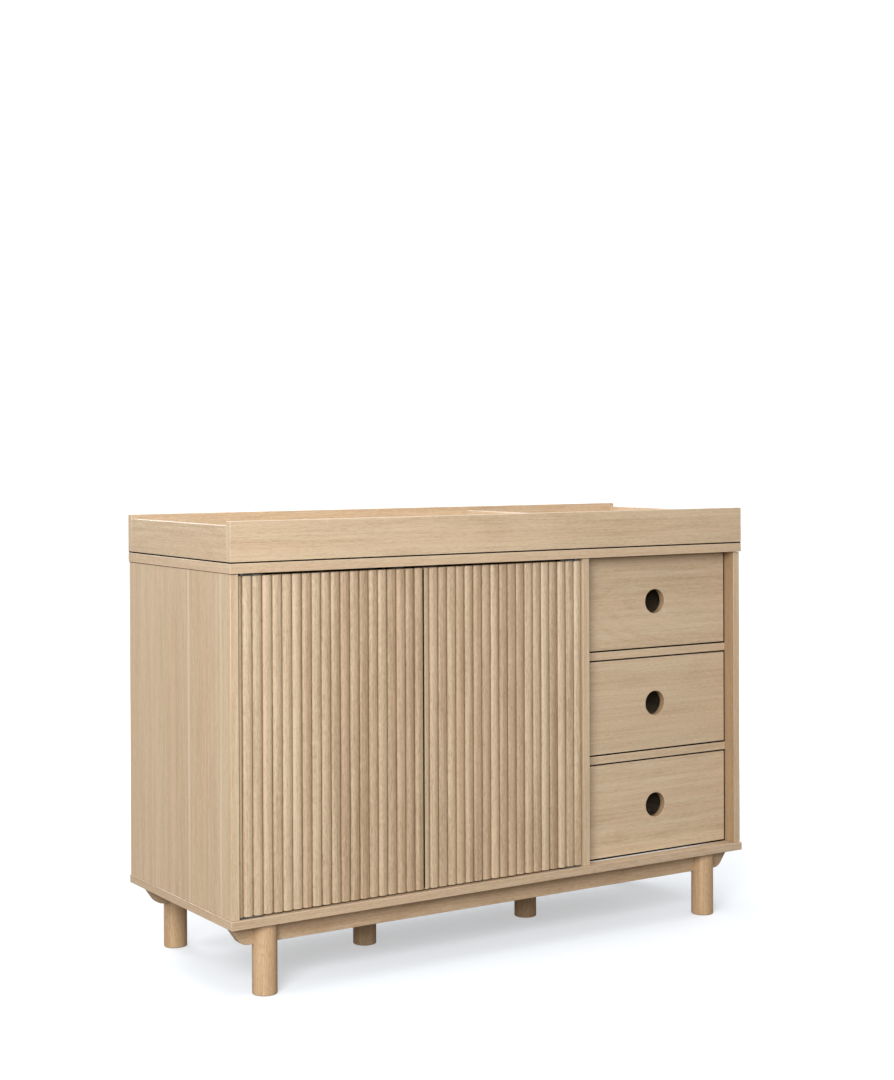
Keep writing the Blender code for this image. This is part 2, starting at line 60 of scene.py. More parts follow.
def new_tree(family, name, inputs, outputs):
    """A new node tree, what it is given and what it gives out. Inputs are (name, kind, default)."""
    tree = bpy.data.node_groups.new(name, family)
    for socket, kind, default in inputs:
        made = tree.interface.new_socket(socket, in_out="INPUT", socket_type="NodeSocket" + kind)
        if default is not None:
            made.default_value = default
    for socket, kind in outputs:
        tree.interface.new_socket(socket, in_out="OUTPUT", socket_type="NodeSocket" + kind)
    return tree, tree.nodes.new("NodeGroupInput").outputs, tree.nodes.new("NodeGroupOutput").inputs


def add(tree, kind, settings=None, **inputs):
    """A node with its settings, and each named input set to a value or linked to an output socket."""
    made = tree.nodes.new(kind)
    for key, value in (settings or {}).items():
        setattr(made, key, value)
    for key, value in inputs.items():
        socket = made.inputs[int(key[1:])] if key[1:].isdigit() else made.inputs[key.replace("_", " ")]
        if isinstance(value, bpy.types.NodeSocket):
            tree.links.new(value, socket)
        else:
            socket.default_value = value
    return made


def worked_out(tree, operation, first, second=0.0):
    """The value that one arithmetic step gives; each term may be a number or a socket."""
    return add(tree, "ShaderNodeMath", {"operation": operation}, _0=first, _1=second).outputs[0]


def sum_of(tree, first, second):
    return worked_out(tree, "ADD", first, second)


def difference(tree, first, second):
    return worked_out(tree, "SUBTRACT", first, second)


def product(tree, first, second):
    return worked_out(tree, "MULTIPLY", first, second)


def attribute(tree, name, output="Fac"):
    return add(tree, "ShaderNodeAttribute", {"attribute_name": name}).outputs[output]


def object_place(tree):
    return add(tree, "ShaderNodeTexCoord").outputs["Object"]


def new_finish(name):
    """A new material, its node tree and its surface shader."""
    material = bpy.data.materials.new(name)
    material.use_nodes = True
    return material, material.node_tree, material.node_tree.nodes["Principled BSDF"]


def stretched_noise(tree, place, stretch, detail, roughness=0.5):
    """Noise drawn out along the grain: the stretch is patches a metre across, in depth and along."""
    scaled = add(tree, "ShaderNodeVectorMath", {"operation": "MULTIPLY"}, _0=place, _1=stretch)
    noise = add(
        tree, "ShaderNodeTexNoise", Vector=scaled.outputs[0], Scale=1.0, Detail=detail, Roughness=roughness
    )
    return noise.outputs["Fac"]


def spread(tree, value, low, high, to_low=0.0, to_high=1.0):
    """Maps a value from one span to another, clamped and eased."""
    settings = {"interpolation_type": "SMOOTHSTEP"}
    spans = {"_1": low, "_2": high, "_3": to_low, "_4": to_high}
    return add(tree, "ShaderNodeMapRange", settings, Value=value, **spans).outputs[0]


def mixed(tree, share, first, second, blend="MIX"):
    """A colour mix; the share, and either colour, may be a value or a socket."""
    settings = {"data_type": "RGBA", "blend_type": blend}
    return add(tree, "ShaderNodeMix", settings, _0=share, _6=first, _7=second).outputs[2]


def oak_figure_group():
    """Figure of sawn oak. Place is across the grain, into the wood and along the grain, in metres. Veneer
    comes in leaves of one width, and Seam shows the pale glue line where two of them meet."""
    tree, given, out = new_tree(
        "ShaderNodeTree",
        "oak_figure",
        (
            ("Place", "Vector", (0, 0, 0)),
            ("Pale", "Color", (0.60, 0.46, 0.32, 1)),
            ("Rose", "Color", (0.60, 0.44, 0.31, 1)),
            ("Dark", "Color", (0.40, 0.27, 0.16, 1)),
            ("Contrast", "Float", 1.0),
            ("Arches", "Float", 0.2),
            ("Pores", "Float", 0.5),
            ("Leaf", "Float", 0.1345),
            ("Joint", "Float", 0.0),
            ("Seam", "Float", 0.0),
        ),
        (("Color", "Color"), ("Height", "Float"), ("Polish", "Float")),
    )
    place = given["Place"]
    plank = stretched_noise(tree, place, (9.0, 9.0, 0.35), 1.0)
    stripe = stretched_noise(tree, place, (68.0, 68.0, 1.2), 2.0)
    fibre = stretched_noise(tree, place, (300.0, 300.0, 6.0), 2.0, 0.6)
    fleck = stretched_noise(tree, place, (950.0, 950.0, 85.0), 1.0)
    pore = stretched_noise(tree, place, (1700.0, 1700.0, 125.0), 1.0)
    hue = stretched_noise(tree, place, (58.0, 58.0, 0.9), 1.0)
    field = stretched_noise(tree, place, (4.5, 4.5, 0.75), 1.0)
    turns = product(tree, field, 150.0)
    wave = worked_out(tree, "SINE", turns)
    arch = spread(tree, wave, -0.2, 1.0)
    across = add(tree, "ShaderNodeSeparateXYZ", _0=place).outputs[0]
    leaves = worked_out(tree, "DIVIDE", sum_of(tree, across, given["Joint"]), given["Leaf"])
    leaf = worked_out(tree, "FLOOR", leaves)
    leaf_tone = add(tree, "ShaderNodeTexWhiteNoise", {"noise_dimensions": "1D"}, W=leaf).outputs["Value"]
    tone = 0.5
    for value, weight in ((plank, 0.35), (stripe, 0.8), (fibre, 0.85), (fleck, 0.95), (leaf_tone, 0.10)):
        centred = difference(tree, value, 0.5)
        part = product(tree, centred, weight)
        tone = sum_of(tree, part, tone)
    arched = product(tree, arch, given["Arches"])
    tone = sum_of(tree, tone, arched)
    centred = difference(tree, tone, 0.5)
    contrasted = product(tree, centred, given["Contrast"])
    darkness = spread(tree, contrasted, -0.42, 0.62)
    warmth = spread(tree, hue, 0.38, 0.62)
    ground = mixed(tree, warmth, given["Pale"], given["Rose"])
    wood = mixed(tree, darkness, ground, given["Dark"])
    pit = spread(tree, pore, 0.37, 0.29)
    pitted = product(tree, pit, given["Pores"])
    wood = mixed(tree, pitted, wood, given["Dark"], "MULTIPLY")
    nearest = worked_out(tree, "ROUND", leaves)
    off_joint = difference(tree, leaves, nearest)
    off_joint = worked_out(tree, "ABSOLUTE", off_joint)
    glue = spread(tree, off_joint, 0.018, 0.046, 1.0, 0.0)
    chosen = add(tree, "ShaderNodeTexWhiteNoise", {"noise_dimensions": "1D"}, W=nearest).outputs["Value"]
    glue = product(tree, glue, spread(tree, chosen, 0.0, 0.7, 0.1, 1.0))
    broken = spread(tree, stretched_noise(tree, place, (300.0, 300.0, 3.0), 2.0), 0.30, 0.60, 0.35, 1.0)
    seam = product(tree, product(tree, glue, broken), given["Seam"])
    wood = mixed(tree, seam, wood, (0.66, 0.585, 0.44, 1))
    tree.links.new(wood, out["Color"])
    raised = difference(tree, fibre, pit)
    tree.links.new(raised, out["Height"])
    tree.links.new(product(tree, darkness, stripe), out["Polish"])
    return tree


OAK_FIGURE = oak_figure_group()


def wear_and_highlight_group():
    """Years of wiping and handling, and painted highlight: the arrises are laid pale, partly as lacquer
    rubbed by wear and partly as the bright highlight an edge catches, with faint cloudy smears.
    """
    tree, given, out = new_tree(
        "ShaderNodeTree",
        "wear_and_edge_highlight",
        (
            ("Color", "Color", (0.6, 0.45, 0.3, 1)),
            ("Arris", "Float", 0.0),
            ("Rub And Highlight", "Float", 0.10),
            ("Smears", "Float", 0.05),
        ),
        (("Color", "Color"), ("Dullness", "Float")),
    )
    place = object_place(tree)
    patchy = stretched_noise(tree, place, (23.0, 23.0, 23.0), 3.0)
    wear_and_highlight = spread(tree, patchy, 0.30, 0.62, 0.35, 1.0)
    edge = product(tree, given["Arris"], wear_and_highlight)
    share = product(tree, edge, given["Rub And Highlight"])
    # Wear and painted highlight: the pale colour put along the arrises.
    pale = mixed(tree, share, given["Color"], (0.93, 0.84, 0.70, 1))
    tree.links.new(pale, out["Color"])
    cloud = stretched_noise(tree, place, (5.5, 5.5, 5.5), 4.0, 0.62)
    centred = difference(tree, cloud, 0.5)
    smear = product(tree, centred, given["Smears"])
    rubbed = product(tree, share, 0.3)
    tree.links.new(sum_of(tree, smear, rubbed), out["Dullness"])
    return tree


WEAR_AND_HIGHLIGHT = wear_and_highlight_group()


def group_node(tree, group, **inputs):
    return add(tree, "ShaderNodeGroup", {"node_tree": group}, **inputs)


def raise_surface(tree, shader, strength, distance, height):
    bump = add(tree, "ShaderNodeBump", Strength=strength, Distance=distance, Height=height)
    tree.links.new(bump.outputs[0], shader.inputs["Normal"])


def oak_finish(name, pale, rose, dark, contrast, arches, pores, gloss, relief, place=None, seam=0.0):
    """A lacquered oak surface. Boards carry their grain directions in an attribute; solid wood gives a
    turn that brings its own grain upright."""
    material, tree, shader = new_finish(name)
    if place is None:
        where = attribute(tree, "grain", "Vector")
    else:
        solid = object_place(tree)
        where = add(tree, "ShaderNodeMapping", Vector=solid, Rotation=place).outputs[0]
    figure = group_node(
        tree, OAK_FIGURE, Place=where, Pale=pale, Rose=rose, Dark=dark,
        Contrast=contrast, Arches=arches, Pores=pores, Joint=LEAF_OFFSET, Seam=seam,
    )
    arris = attribute(tree, "arris")
    # Painted shade: faces marked with the painted-shade attribute are multiplied by this darker tint,
    # standing in for the shade in recesses.
    painted_shade = attribute(tree, "painted_shade")
    laid = mixed(tree, painted_shade, figure.outputs["Color"], (0.66, 0.58, 0.50, 1), "MULTIPLY")
    wear_and_highlight = group_node(tree, WEAR_AND_HIGHLIGHT, Color=laid, Arris=arris)
    tree.links.new(wear_and_highlight.outputs["Color"], shader.inputs["Base Color"])
    silk = product(tree, figure.outputs["Polish"], 0.16)
    silk = sum_of(tree, silk, gloss)
    tree.links.new(sum_of(tree, silk, wear_and_highlight.outputs["Dullness"]), shader.inputs["Roughness"])
    raise_surface(tree, shader, relief, 0.0003, figure.outputs["Height"])
    shader.inputs["Coat Weight"].default_value = 0.30
    shader.inputs["Coat Roughness"].default_value = 0.22
    return material


LEG_OAK = oak_finish(
    "lacquered_leg_oak", pale=(0.60, 0.425, 0.255, 1), rose=(0.58, 0.395, 0.235, 1),
    dark=(0.38, 0.23, 0.115, 1), contrast=1.0, arches=0.10, pores=0.45, gloss=0.46, relief=0.25,
    place=(0, 0, 0),
)


def linked(name, mesh):
    """A piece at the origin; its place is in its mesh."""
    piece = bpy.data.objects.new(name, mesh)
    bpy.context.scene.collection.objects.link(piece)
    return piece


def settled(holder):
    """The holder's shape with its modifiers worked out, as a plain mesh; the holder goes."""
    graph = bpy.context.evaluated_depsgraph_get()
    mesh = bpy.data.meshes.new_from_object(holder.evaluated_get(graph))
    bpy.data.objects.remove(holder)
    return mesh


def mesh_from(name, bm):
    """The worked shape as a mesh; the working copy goes."""
    mesh = bpy.data.meshes.new(name)
    bm.to_mesh(mesh)
    bm.free()
    return mesh


def turned_leg(node):
    """A round bar in the node's box with its foot chamfered, and the middle of its axis."""
    low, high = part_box(node)
    bm = bmesh.new()
    radius = max(high.x - low.x, high.y - low.y) / 2
    bmesh.ops.create_cone(
        bm, cap_ends=True, segments=LEG_SIDES, radius1=radius, radius2=radius, depth=high.z - low.z
    )
    centre = Vector(((low.x + high.x) / 2, (low.y + high.y) / 2, (low.z + high.z) / 2))
    bmesh.ops.translate(bm, vec=centre, verts=bm.verts)
    rim = [edge for edge in bm.edges if max(v.co.z for v in edge.verts) < low.z + NOTCH_ARRIS]
    bmesh.ops.bevel(
        bm, geom=rim, offset=FOOT_CHAMFER, segments=4, profile=0.6, affect="EDGES", clamp_overlap=True
    )
    return mesh_from(node + "_turned", bm), centre


def cut_with(mesh, cutter_mesh):
    """The mesh less the cutter's shape."""
    cutter = linked("cutter", cutter_mesh)
    holder = linked("being_cut", mesh)
    cut = holder.modifiers.new("cut", "BOOLEAN")
    cut.operation = "DIFFERENCE"
    cut.solver = "EXACT"
    cut.object = cutter
    done = settled(holder)
    bpy.data.objects.remove(cutter)
    return done


def add_box(bm, low, high):
    made = bmesh.ops.create_cube(bm, size=1.0)["verts"]
    bmesh.ops.scale(bm, vec=Vector(high) - Vector(low), verts=made)
    bmesh.ops.translate(bm, vec=(Vector(low) + Vector(high)) / 2, verts=made)


def box_mesh(name, low, high):
    bm = bmesh.new()
    add_box(bm, low, high)
    return mesh_from(name, bm)


def shaded_round(mesh, angle=32):
    mesh.shade_smooth()
    mesh.set_sharp_from_angle(angle=math.radians(angle))


for node in CORNER_LEGS + CENTRE_LEGS:
    mesh, centre = turned_leg(node)
    if node in CORNER_LEGS:
        skirt_low, skirt_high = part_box("front_skirt" if centre.y < 0 else "rear_skirt")
        inward = 1 if centre.y < 0 else -1
        face = skirt_low.y if centre.y < 0 else skirt_high.y
        face -= inward * NOTCH_CLEARANCE
        past = centre.y + inward * (skirt_high.y - skirt_low.y + CUT_PAST)
        notch_low = (centre.x - CUT_PAST * 2, min(face, past), skirt_low.z - NOTCH_CLEARANCE)
        notch_high = (centre.x + CUT_PAST * 2, max(face, past), centre.z * 2 + CUT_PAST)
        mesh = cut_with(mesh, box_mesh("notch", notch_low, notch_high))
    shaded_round(mesh)
    mesh.materials.clear()
    mesh.materials.append(LEG_OAK)
    leg = linked(node + "_turned", mesh)
    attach(leg, "cabinet")
    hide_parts(node)


# ---- Skirts ---------------------------------------------------------------------------------------
# Two solid oak bars under the base, front and rear, whose ends slope in to a rounded lower corner. They
# are planed, their arrises are eased, and screws pass up through them into the base board.

SKIRT_ARRIS = 0.0012
SKIRT_FIGURE = 3.1  # where in the log the first board of a group is cut; each group has its own place
WELD_WITHIN = 0.00002
FLAT_WITHIN = 0.5
X, Y, Z = 0, 1, 2

SKIRT_OAK = oak_finish(
    "lacquered_skirt_oak", pale=(0.56, 0.41, 0.265, 1), rose=(0.54, 0.385, 0.245, 1),
    dark=(0.37, 0.24, 0.135, 1), contrast=1.0, arches=0.12, pores=0.45, gloss=0.48, relief=0.25,
)


def join_flat(bm):
    """Welds doubled points and joins the triangles of each flat face."""
    bmesh.ops.remove_doubles(bm, verts=bm.verts, dist=WELD_WITHIN)
    bmesh.ops.dissolve_limit(bm, angle_limit=math.radians(FLAT_WITHIN), verts=bm.verts, edges=bm.edges)


def clean_copy(node):
    """A copy of a node's solid with its loose triangles joined into flat faces."""
    bm = bmesh.new()
    bm.from_mesh(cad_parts[node].data)
    for layer in list(bm.loops.layers.uv):
        bm.loops.layers.uv.remove(layer)
    join_flat(bm)
    return bm


def ease_arrises(bm, arris, segments=2, angle=30):
    """Rounds every edge sharper than the angle, and returns the faces this makes."""
    sharp = [
        edge for edge in bm.edges
        if edge.is_manifold and edge.calc_face_angle(0) > math.radians(angle)
    ]
    made = bmesh.ops.bevel(
        bm, geom=sharp, offset=arris, segments=segments, profile=0.5, affect="EDGES", clamp_overlap=True
    )
    return set(made["faces"])


def lay_grain(bm, along, number, eased=(), painted_shade_face=None):
    """Gives each face its grain directions: along the board, or along the longer side of a cut end, as edge
    banding runs. The number keeps one board's figure from repeating on another, and the two broad faces are
    cut from different sheets; painted_shade_face is the (axis, side) of a face given painted shade, a darker
    tint that stands in for the shade in a recess."""
    grain = bm.loops.layers.float_vector.new("grain")
    arris = bm.loops.layers.float.new("arris")
    painted_shade = bm.loops.layers.float.new("painted_shade")
    size = [max(v.co[i] for v in bm.verts) - min(v.co[i] for v in bm.verts) for i in range(3)]
    for face in bm.faces:
        facing = max(range(3), key=lambda i: abs(face.normal[i]) - (0.01 if i == along else 0))
        run = along
        if facing == along:
            run = max((i for i in range(3) if i != facing), key=lambda i: size[i])
        across = 3 - facing - run
        side = 1 if face.normal[facing] > 0 else -1
        layer = number * 1.7 + facing * 0.6 + side * 0.3
        face.smooth = face in eased
        for loop in face.loops:
            place = loop.vert.co
            loop[grain] = (place[across] + number * 0.37, layer, place[run] + number)
            loop[arris] = 1.0 if face in eased else 0.0
            loop[painted_shade] = 1.0 if painted_shade_face == (facing, side) else 0.0


def board_mesh(name, bm, material):
    mesh = mesh_from(name, bm)
    mesh.materials.append(material)
    return mesh


def bored(mesh, bores, sides=20):
    """The mesh with round holes cut through or into it."""
    bm = bmesh.new()
    for centre, axis, radius, length in bores:
        made = bmesh.ops.create_cone(
            bm, cap_ends=True, segments=sides, radius1=radius, radius2=radius, depth=length
        )["verts"]
        turn = Vector((0, 0, 1)).rotation_difference(Vector([1.0 if i == axis else 0.0 for i in range(3)]))
        bmesh.ops.rotate(bm, cent=(0, 0, 0), matrix=turn.to_matrix(), verts=made)
        bmesh.ops.translate(bm, vec=Vector(centre), verts=made)
    return cut_with(mesh, mesh_from("bores", bm))


def board(
    node, along, number, arris, material, body, segments=2, painted_shade_face=None, bores=(), foot=0.0, head=0.0
):
    """A board in place of its node: the same solid with eased arrises, its grain laid, and any small
    holes bored. Each bore is (centre, axis, radius, length); foot and head are what is planed off there."""
    bm = clean_copy(node)
    lowest = min(v.co.z for v in bm.verts)
    highest = max(v.co.z for v in bm.verts)
    for vertex in bm.verts:
        if vertex.co.z < lowest + NOTCH_CLEARANCE:
            vertex.co.z += foot
        elif vertex.co.z > highest - NOTCH_CLEARANCE:
            vertex.co.z -= head
    eased = ease_arrises(bm, arris, segments)
    lay_grain(bm, along, number, eased, painted_shade_face)
    mesh = board_mesh(node + "_board", bm, material)
    if bores:
        mesh = bored(mesh, bores)
    piece = linked(node + "_board", mesh)
    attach(piece, body)
    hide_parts(node)
    return piece


for number, node in enumerate(("front_skirt", "rear_skirt")):
    board(node, X, SKIRT_FIGURE + number, SKIRT_ARRIS, SKIRT_OAK, "cabinet", segments=3)


# ---- Carcass --------------------------------------------------------------------------------------
# Base, top, two sides and the divider between cupboard and drawers: particle board faced with oak
# veneer, every edge banded and lightly eased. Grain stands upright on the sides, whose heads are planed
# down a little, so that a fine dark joint shows under the top.

CARCASS_FIGURE = 11.3
# Strength of the painted highlight on the base's top face in front of the lowest drawer.
PAINTED_HIGHLIGHT_STRENGTH = 0.85
CARCASS_ARRIS = 0.0007
SIDE_HEAD_RELIEF = 0.0008

CARCASS_OAK = oak_finish(
    "carcass_oak_veneer", pale=(0.585, 0.455, 0.308, 1), rose=(0.575, 0.428, 0.290, 1),
    dark=(0.42, 0.295, 0.182, 1), contrast=1.0, arches=0.08, pores=0.4, gloss=0.44, relief=0.18,
)
SIDE_OAK = oak_finish(
    "side_oak_veneer", pale=(0.585, 0.462, 0.312, 1), rose=(0.580, 0.428, 0.292, 1),
    dark=(0.42, 0.30, 0.185, 1), contrast=1.0, arches=0.06, pores=0.35, gloss=0.44, relief=0.18, seam=0.6,
)


def base_finish():
    """The carcass oak with a painted highlight: a pale line on the base's top face in front of the lowest
    drawer, where that face catches bright light.
    """
    material = oak_finish(
        "base_oak_veneer", pale=(0.575, 0.450, 0.312, 1), rose=(0.565, 0.425, 0.292, 1),
        dark=(0.41, 0.29, 0.182, 1), contrast=1.0, arches=0.08, pores=0.4, gloss=0.40, relief=0.18,
    )
    tree = material.node_tree
    shader = tree.nodes["Principled BSDF"]
    plain = shader.inputs["Base Color"].links[0].from_socket
    low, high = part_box("lower_drawer_front")
    axes = add(tree, "ShaderNodeSeparateXYZ", _0=object_place(tree)).outputs
    from_left = spread(tree, axes[0], low.x - 0.002, low.x + 0.006)
    to_right = spread(tree, axes[0], low.x + 0.26, high.x - 0.01, 1.0, 0.0)
    front = spread(tree, axes[1], low.y - 0.0085, low.y - 0.0065)
    rear = spread(tree, axes[1], low.y - 0.0005, low.y + 0.0015, 1.0, 0.0)
    painted_highlight_band = product(tree, product(tree, from_left, to_right), product(tree, front, rear))
    upper = spread(tree, axes[2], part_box("base_panel")[1].z - 0.001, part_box("base_panel")[1].z - 0.0003)
    painted_highlight_band = product(tree, product(tree, painted_highlight_band, upper), PAINTED_HIGHLIGHT_STRENGTH)
    # Painted highlight: the near-white colour laid along the base's top face in front of the lowest drawer.
    tree.links.new(mixed(tree, painted_highlight_band, plain, (0.84, 0.84, 0.82, 1)), shader.inputs["Base Color"])
    return material


BASE_OAK = base_finish()
PIN_HOLE_RADIUS = 0.0025
PIN_HOLE_DEPTH = 0.010
PIN_PITCH = 0.032
PIN_HOLES = 4
PIN_PLACES_Y = (-0.118, 0.178)


def pin_holes(face_x):
    """Two upright rows of shelf-pin holes, the middle hole of each row level with the shelf's pins."""
    shelf_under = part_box("cupboard_shelf")[0].z
    rows = []
    for y in PIN_PLACES_Y:
        for step in range(-PIN_HOLES, PIN_HOLES + 1):
            height = shelf_under - PIN_HOLE_RADIUS + step * PIN_PITCH
            rows.append(((face_x, y, height), X, PIN_HOLE_RADIUS, PIN_HOLE_DEPTH * 2))
    return rows


for number, (node, along, oak, painted_shade_face, bores, relief) in enumerate((
    ("base_panel", X, BASE_OAK, None, (), 0.0),
    ("top_panel", X, CARCASS_OAK, None, (), 0.0),
    ("left_side_panel", Z, SIDE_OAK, None, pin_holes(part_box("left_side_panel")[1].x), SIDE_HEAD_RELIEF),
    # The right side's inner face, in the recess beside the drawers, gets painted shade: a darker tint on that
    # face only.
    ("right_side_panel", Z, SIDE_OAK, (X, -1), (), SIDE_HEAD_RELIEF),
    ("centre_divider", Z, SIDE_OAK, None, pin_holes(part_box("centre_divider")[0].x), 0.0),
)):
    board(
        node, along, CARCASS_FIGURE + number, CARCASS_ARRIS, oak, "cabinet", painted_shade_face=painted_shade_face,
        bores=bores, head=relief,
    )


# ---- Cupboard shelf -------------------------------------------------------------------------------
# One loose shelf of the same veneered board behind the doors. It rests on four nickel-plated steel pins
# pushed into the rows of holes in the left side and the divider.

SHELF_FIGURE = 21.3

INNER_OAK = oak_finish(
    "inner_oak_veneer", pale=(0.60, 0.47, 0.33, 1), rose=(0.59, 0.44, 0.31, 1),
    dark=(0.43, 0.30, 0.19, 1), contrast=0.8, arches=0.15, pores=0.4, gloss=0.50, relief=0.15,
)
board("cupboard_shelf", X, SHELF_FIGURE, CARCASS_ARRIS, INNER_OAK, "cabinet")

PIN_RADIUS = 0.0024
PIN_LENGTH = 0.017
PIN_IN_HOLE = 0.008
PIN_SIDES = 24
PIN_ARRIS = 0.0004
PIN_AIR = 0.0001


def drawn_metal(name, first, second):
    """Plated steel with its fine drawn lines and patchy tone."""
    material, tree, shader = new_finish(name)
    where = object_place(tree)
    drawn = stretched_noise(tree, where, (90.0, 2400.0, 2400.0), 2.0)
    patch = stretched_noise(tree, where, (140.0, 140.0, 140.0), 3.0)
    tree.links.new(mixed(tree, spread(tree, patch, 0.35, 0.65), first, second), shader.inputs["Base Color"])
    tree.links.new(spread(tree, sum_of(tree, drawn, patch), 0.7, 1.3, 0.26, 0.46), shader.inputs["Roughness"])
    shader.inputs["Metallic"].default_value = 1.0
    return material


NICKEL = drawn_metal("nickel_plated_steel", (0.58, 0.57, 0.54, 1), (0.66, 0.65, 0.62, 1))
shelf_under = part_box("cupboard_shelf")[0].z
bm = bmesh.new()
for wall_x, inward in ((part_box("left_side_panel")[1].x, 1), (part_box("centre_divider")[0].x, -1)):
    for y in PIN_PLACES_Y:
        pin = bmesh.ops.create_cone(
            bm, cap_ends=True, segments=PIN_SIDES, radius1=PIN_RADIUS, radius2=PIN_RADIUS, depth=PIN_LENGTH
        )["verts"]
        bmesh.ops.rotate(bm, cent=(0, 0, 0), matrix=Matrix.Rotation(math.pi / 2, 3, "Y"), verts=pin)
        middle_x = wall_x + inward * (PIN_LENGTH / 2 - PIN_IN_HOLE)
        bmesh.ops.translate(bm, vec=(middle_x, y, shelf_under - PIN_RADIUS - PIN_AIR), verts=pin)
ease_arrises(bm, PIN_ARRIS, 2, 60)
pins_mesh = board_mesh("shelf_pins", bm, NICKEL)
shaded_round(pins_mesh)
pins = linked("shelf_pins", pins_mesh)
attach(pins, "cabinet")


# ---- Doors ----------------------------------------------------------------------------------------
# Two veneered door boards. Each carries a facing of convex oak reeds, glued on side by side; the reeds come
# from different strips, so their tone changes from one to the next, and painted shade darkens the grooves.

DOOR_FIGURE = 31.3
DOOR_ARRIS = 0.0006
REED_PITCH = 0.0201
REED_BACKING = 0.001
FIRST_REEDS = (("left", 0.0085), ("right", 0.0127))
REED_GAP = 0.0005
REED_END_CHAMFER = 0.0006
REED_POINTS = 48

DOOR_OAK = oak_finish(
    "door_oak_veneer", pale=(0.58, 0.45, 0.31, 1), rose=(0.57, 0.42, 0.29, 1),
    dark=(0.42, 0.295, 0.185, 1), contrast=0.9, arches=0.15, pores=0.45, gloss=0.46, relief=0.18,
)


def reeded_oak():
    """Oak that changes tone with each reed's own number, with painted shade darkening it down into the
    grooves.
    """
    material = oak_finish(
        "reeded_oak", pale=(0.590, 0.468, 0.322, 1), rose=(0.575, 0.428, 0.292, 1),
        dark=(0.36, 0.250, 0.148, 1), contrast=1.25, arches=0.05, pores=0.45, gloss=0.46, relief=0.22,
    )
    tree = material.node_tree
    shader = tree.nodes["Principled BSDF"]
    plain = shader.inputs["Base Color"].links[0].from_socket
    tone = attribute(tree, "tone")
    groove = attribute(tree, "groove")
    strip = mixed(tree, tone, (0.79, 0.745, 0.70, 1), (1.0, 1.02, 1.02, 1))
    toned = mixed(tree, 1.0, plain, strip, "MULTIPLY")
    patchy = stretched_noise(tree, object_place(tree), (90.0, 90.0, 6.0), 2.0)
    patchy_groove_shade = spread(tree, patchy, 0.30, 0.70, 0.45, 0.75)
    # Painted shade: the grooves are darkened, patchily, towards a deep brown, standing in for the shade
    # between the reeds.
    deep = product(tree, spread(tree, groove, 0.52, 1.0), patchy_groove_shade)
    groove_shaded = mixed(tree, deep, toned, (0.10, 0.042, 0.018, 1))
    tree.links.new(groove_shaded, shader.inputs["Base Color"])
    return material


REEDED_OAK = reeded_oak()


def joined(tree, x=0.0, y=0.0, z=0.0):
    """A vector from its three parts."""
    return add(tree, "ShaderNodeCombineXYZ", _0=x, _1=y, _2=z).outputs[0]


def with_value(tree, shape, name, value, kind="FLOAT", domain="POINT"):
    """The shape with a named value stored on it."""
    settings = {"data_type": kind, "domain": domain}
    return add(
        tree, "GeometryNodeStoreNamedAttribute", settings, Geometry=shape, Name=name, Value=value
    ).outputs[0]


def drawn_lot(tree, seed, top):
    """A number from 0 to top, drawn anew for every piece."""
    lot = add(tree, "FunctionNodeRandomValue", {"data_type": "FLOAT"}, Seed=seed)
    lot.inputs[2].default_value = 0.0
    lot.inputs[3].default_value = top
    return lot.outputs[1]


def moved_by(tree, shape, step):
    return add(tree, "GeometryNodeTransform", Geometry=shape, Translation=step).outputs[0]


def closed_with(tree, shape, finish, out):
    """The shape in its finish becomes what the tree gives out."""
    finished = add(tree, "GeometryNodeSetMaterial", Geometry=shape, Material=finish).outputs[0]
    tree.links.new(finished, out[0])
    return tree


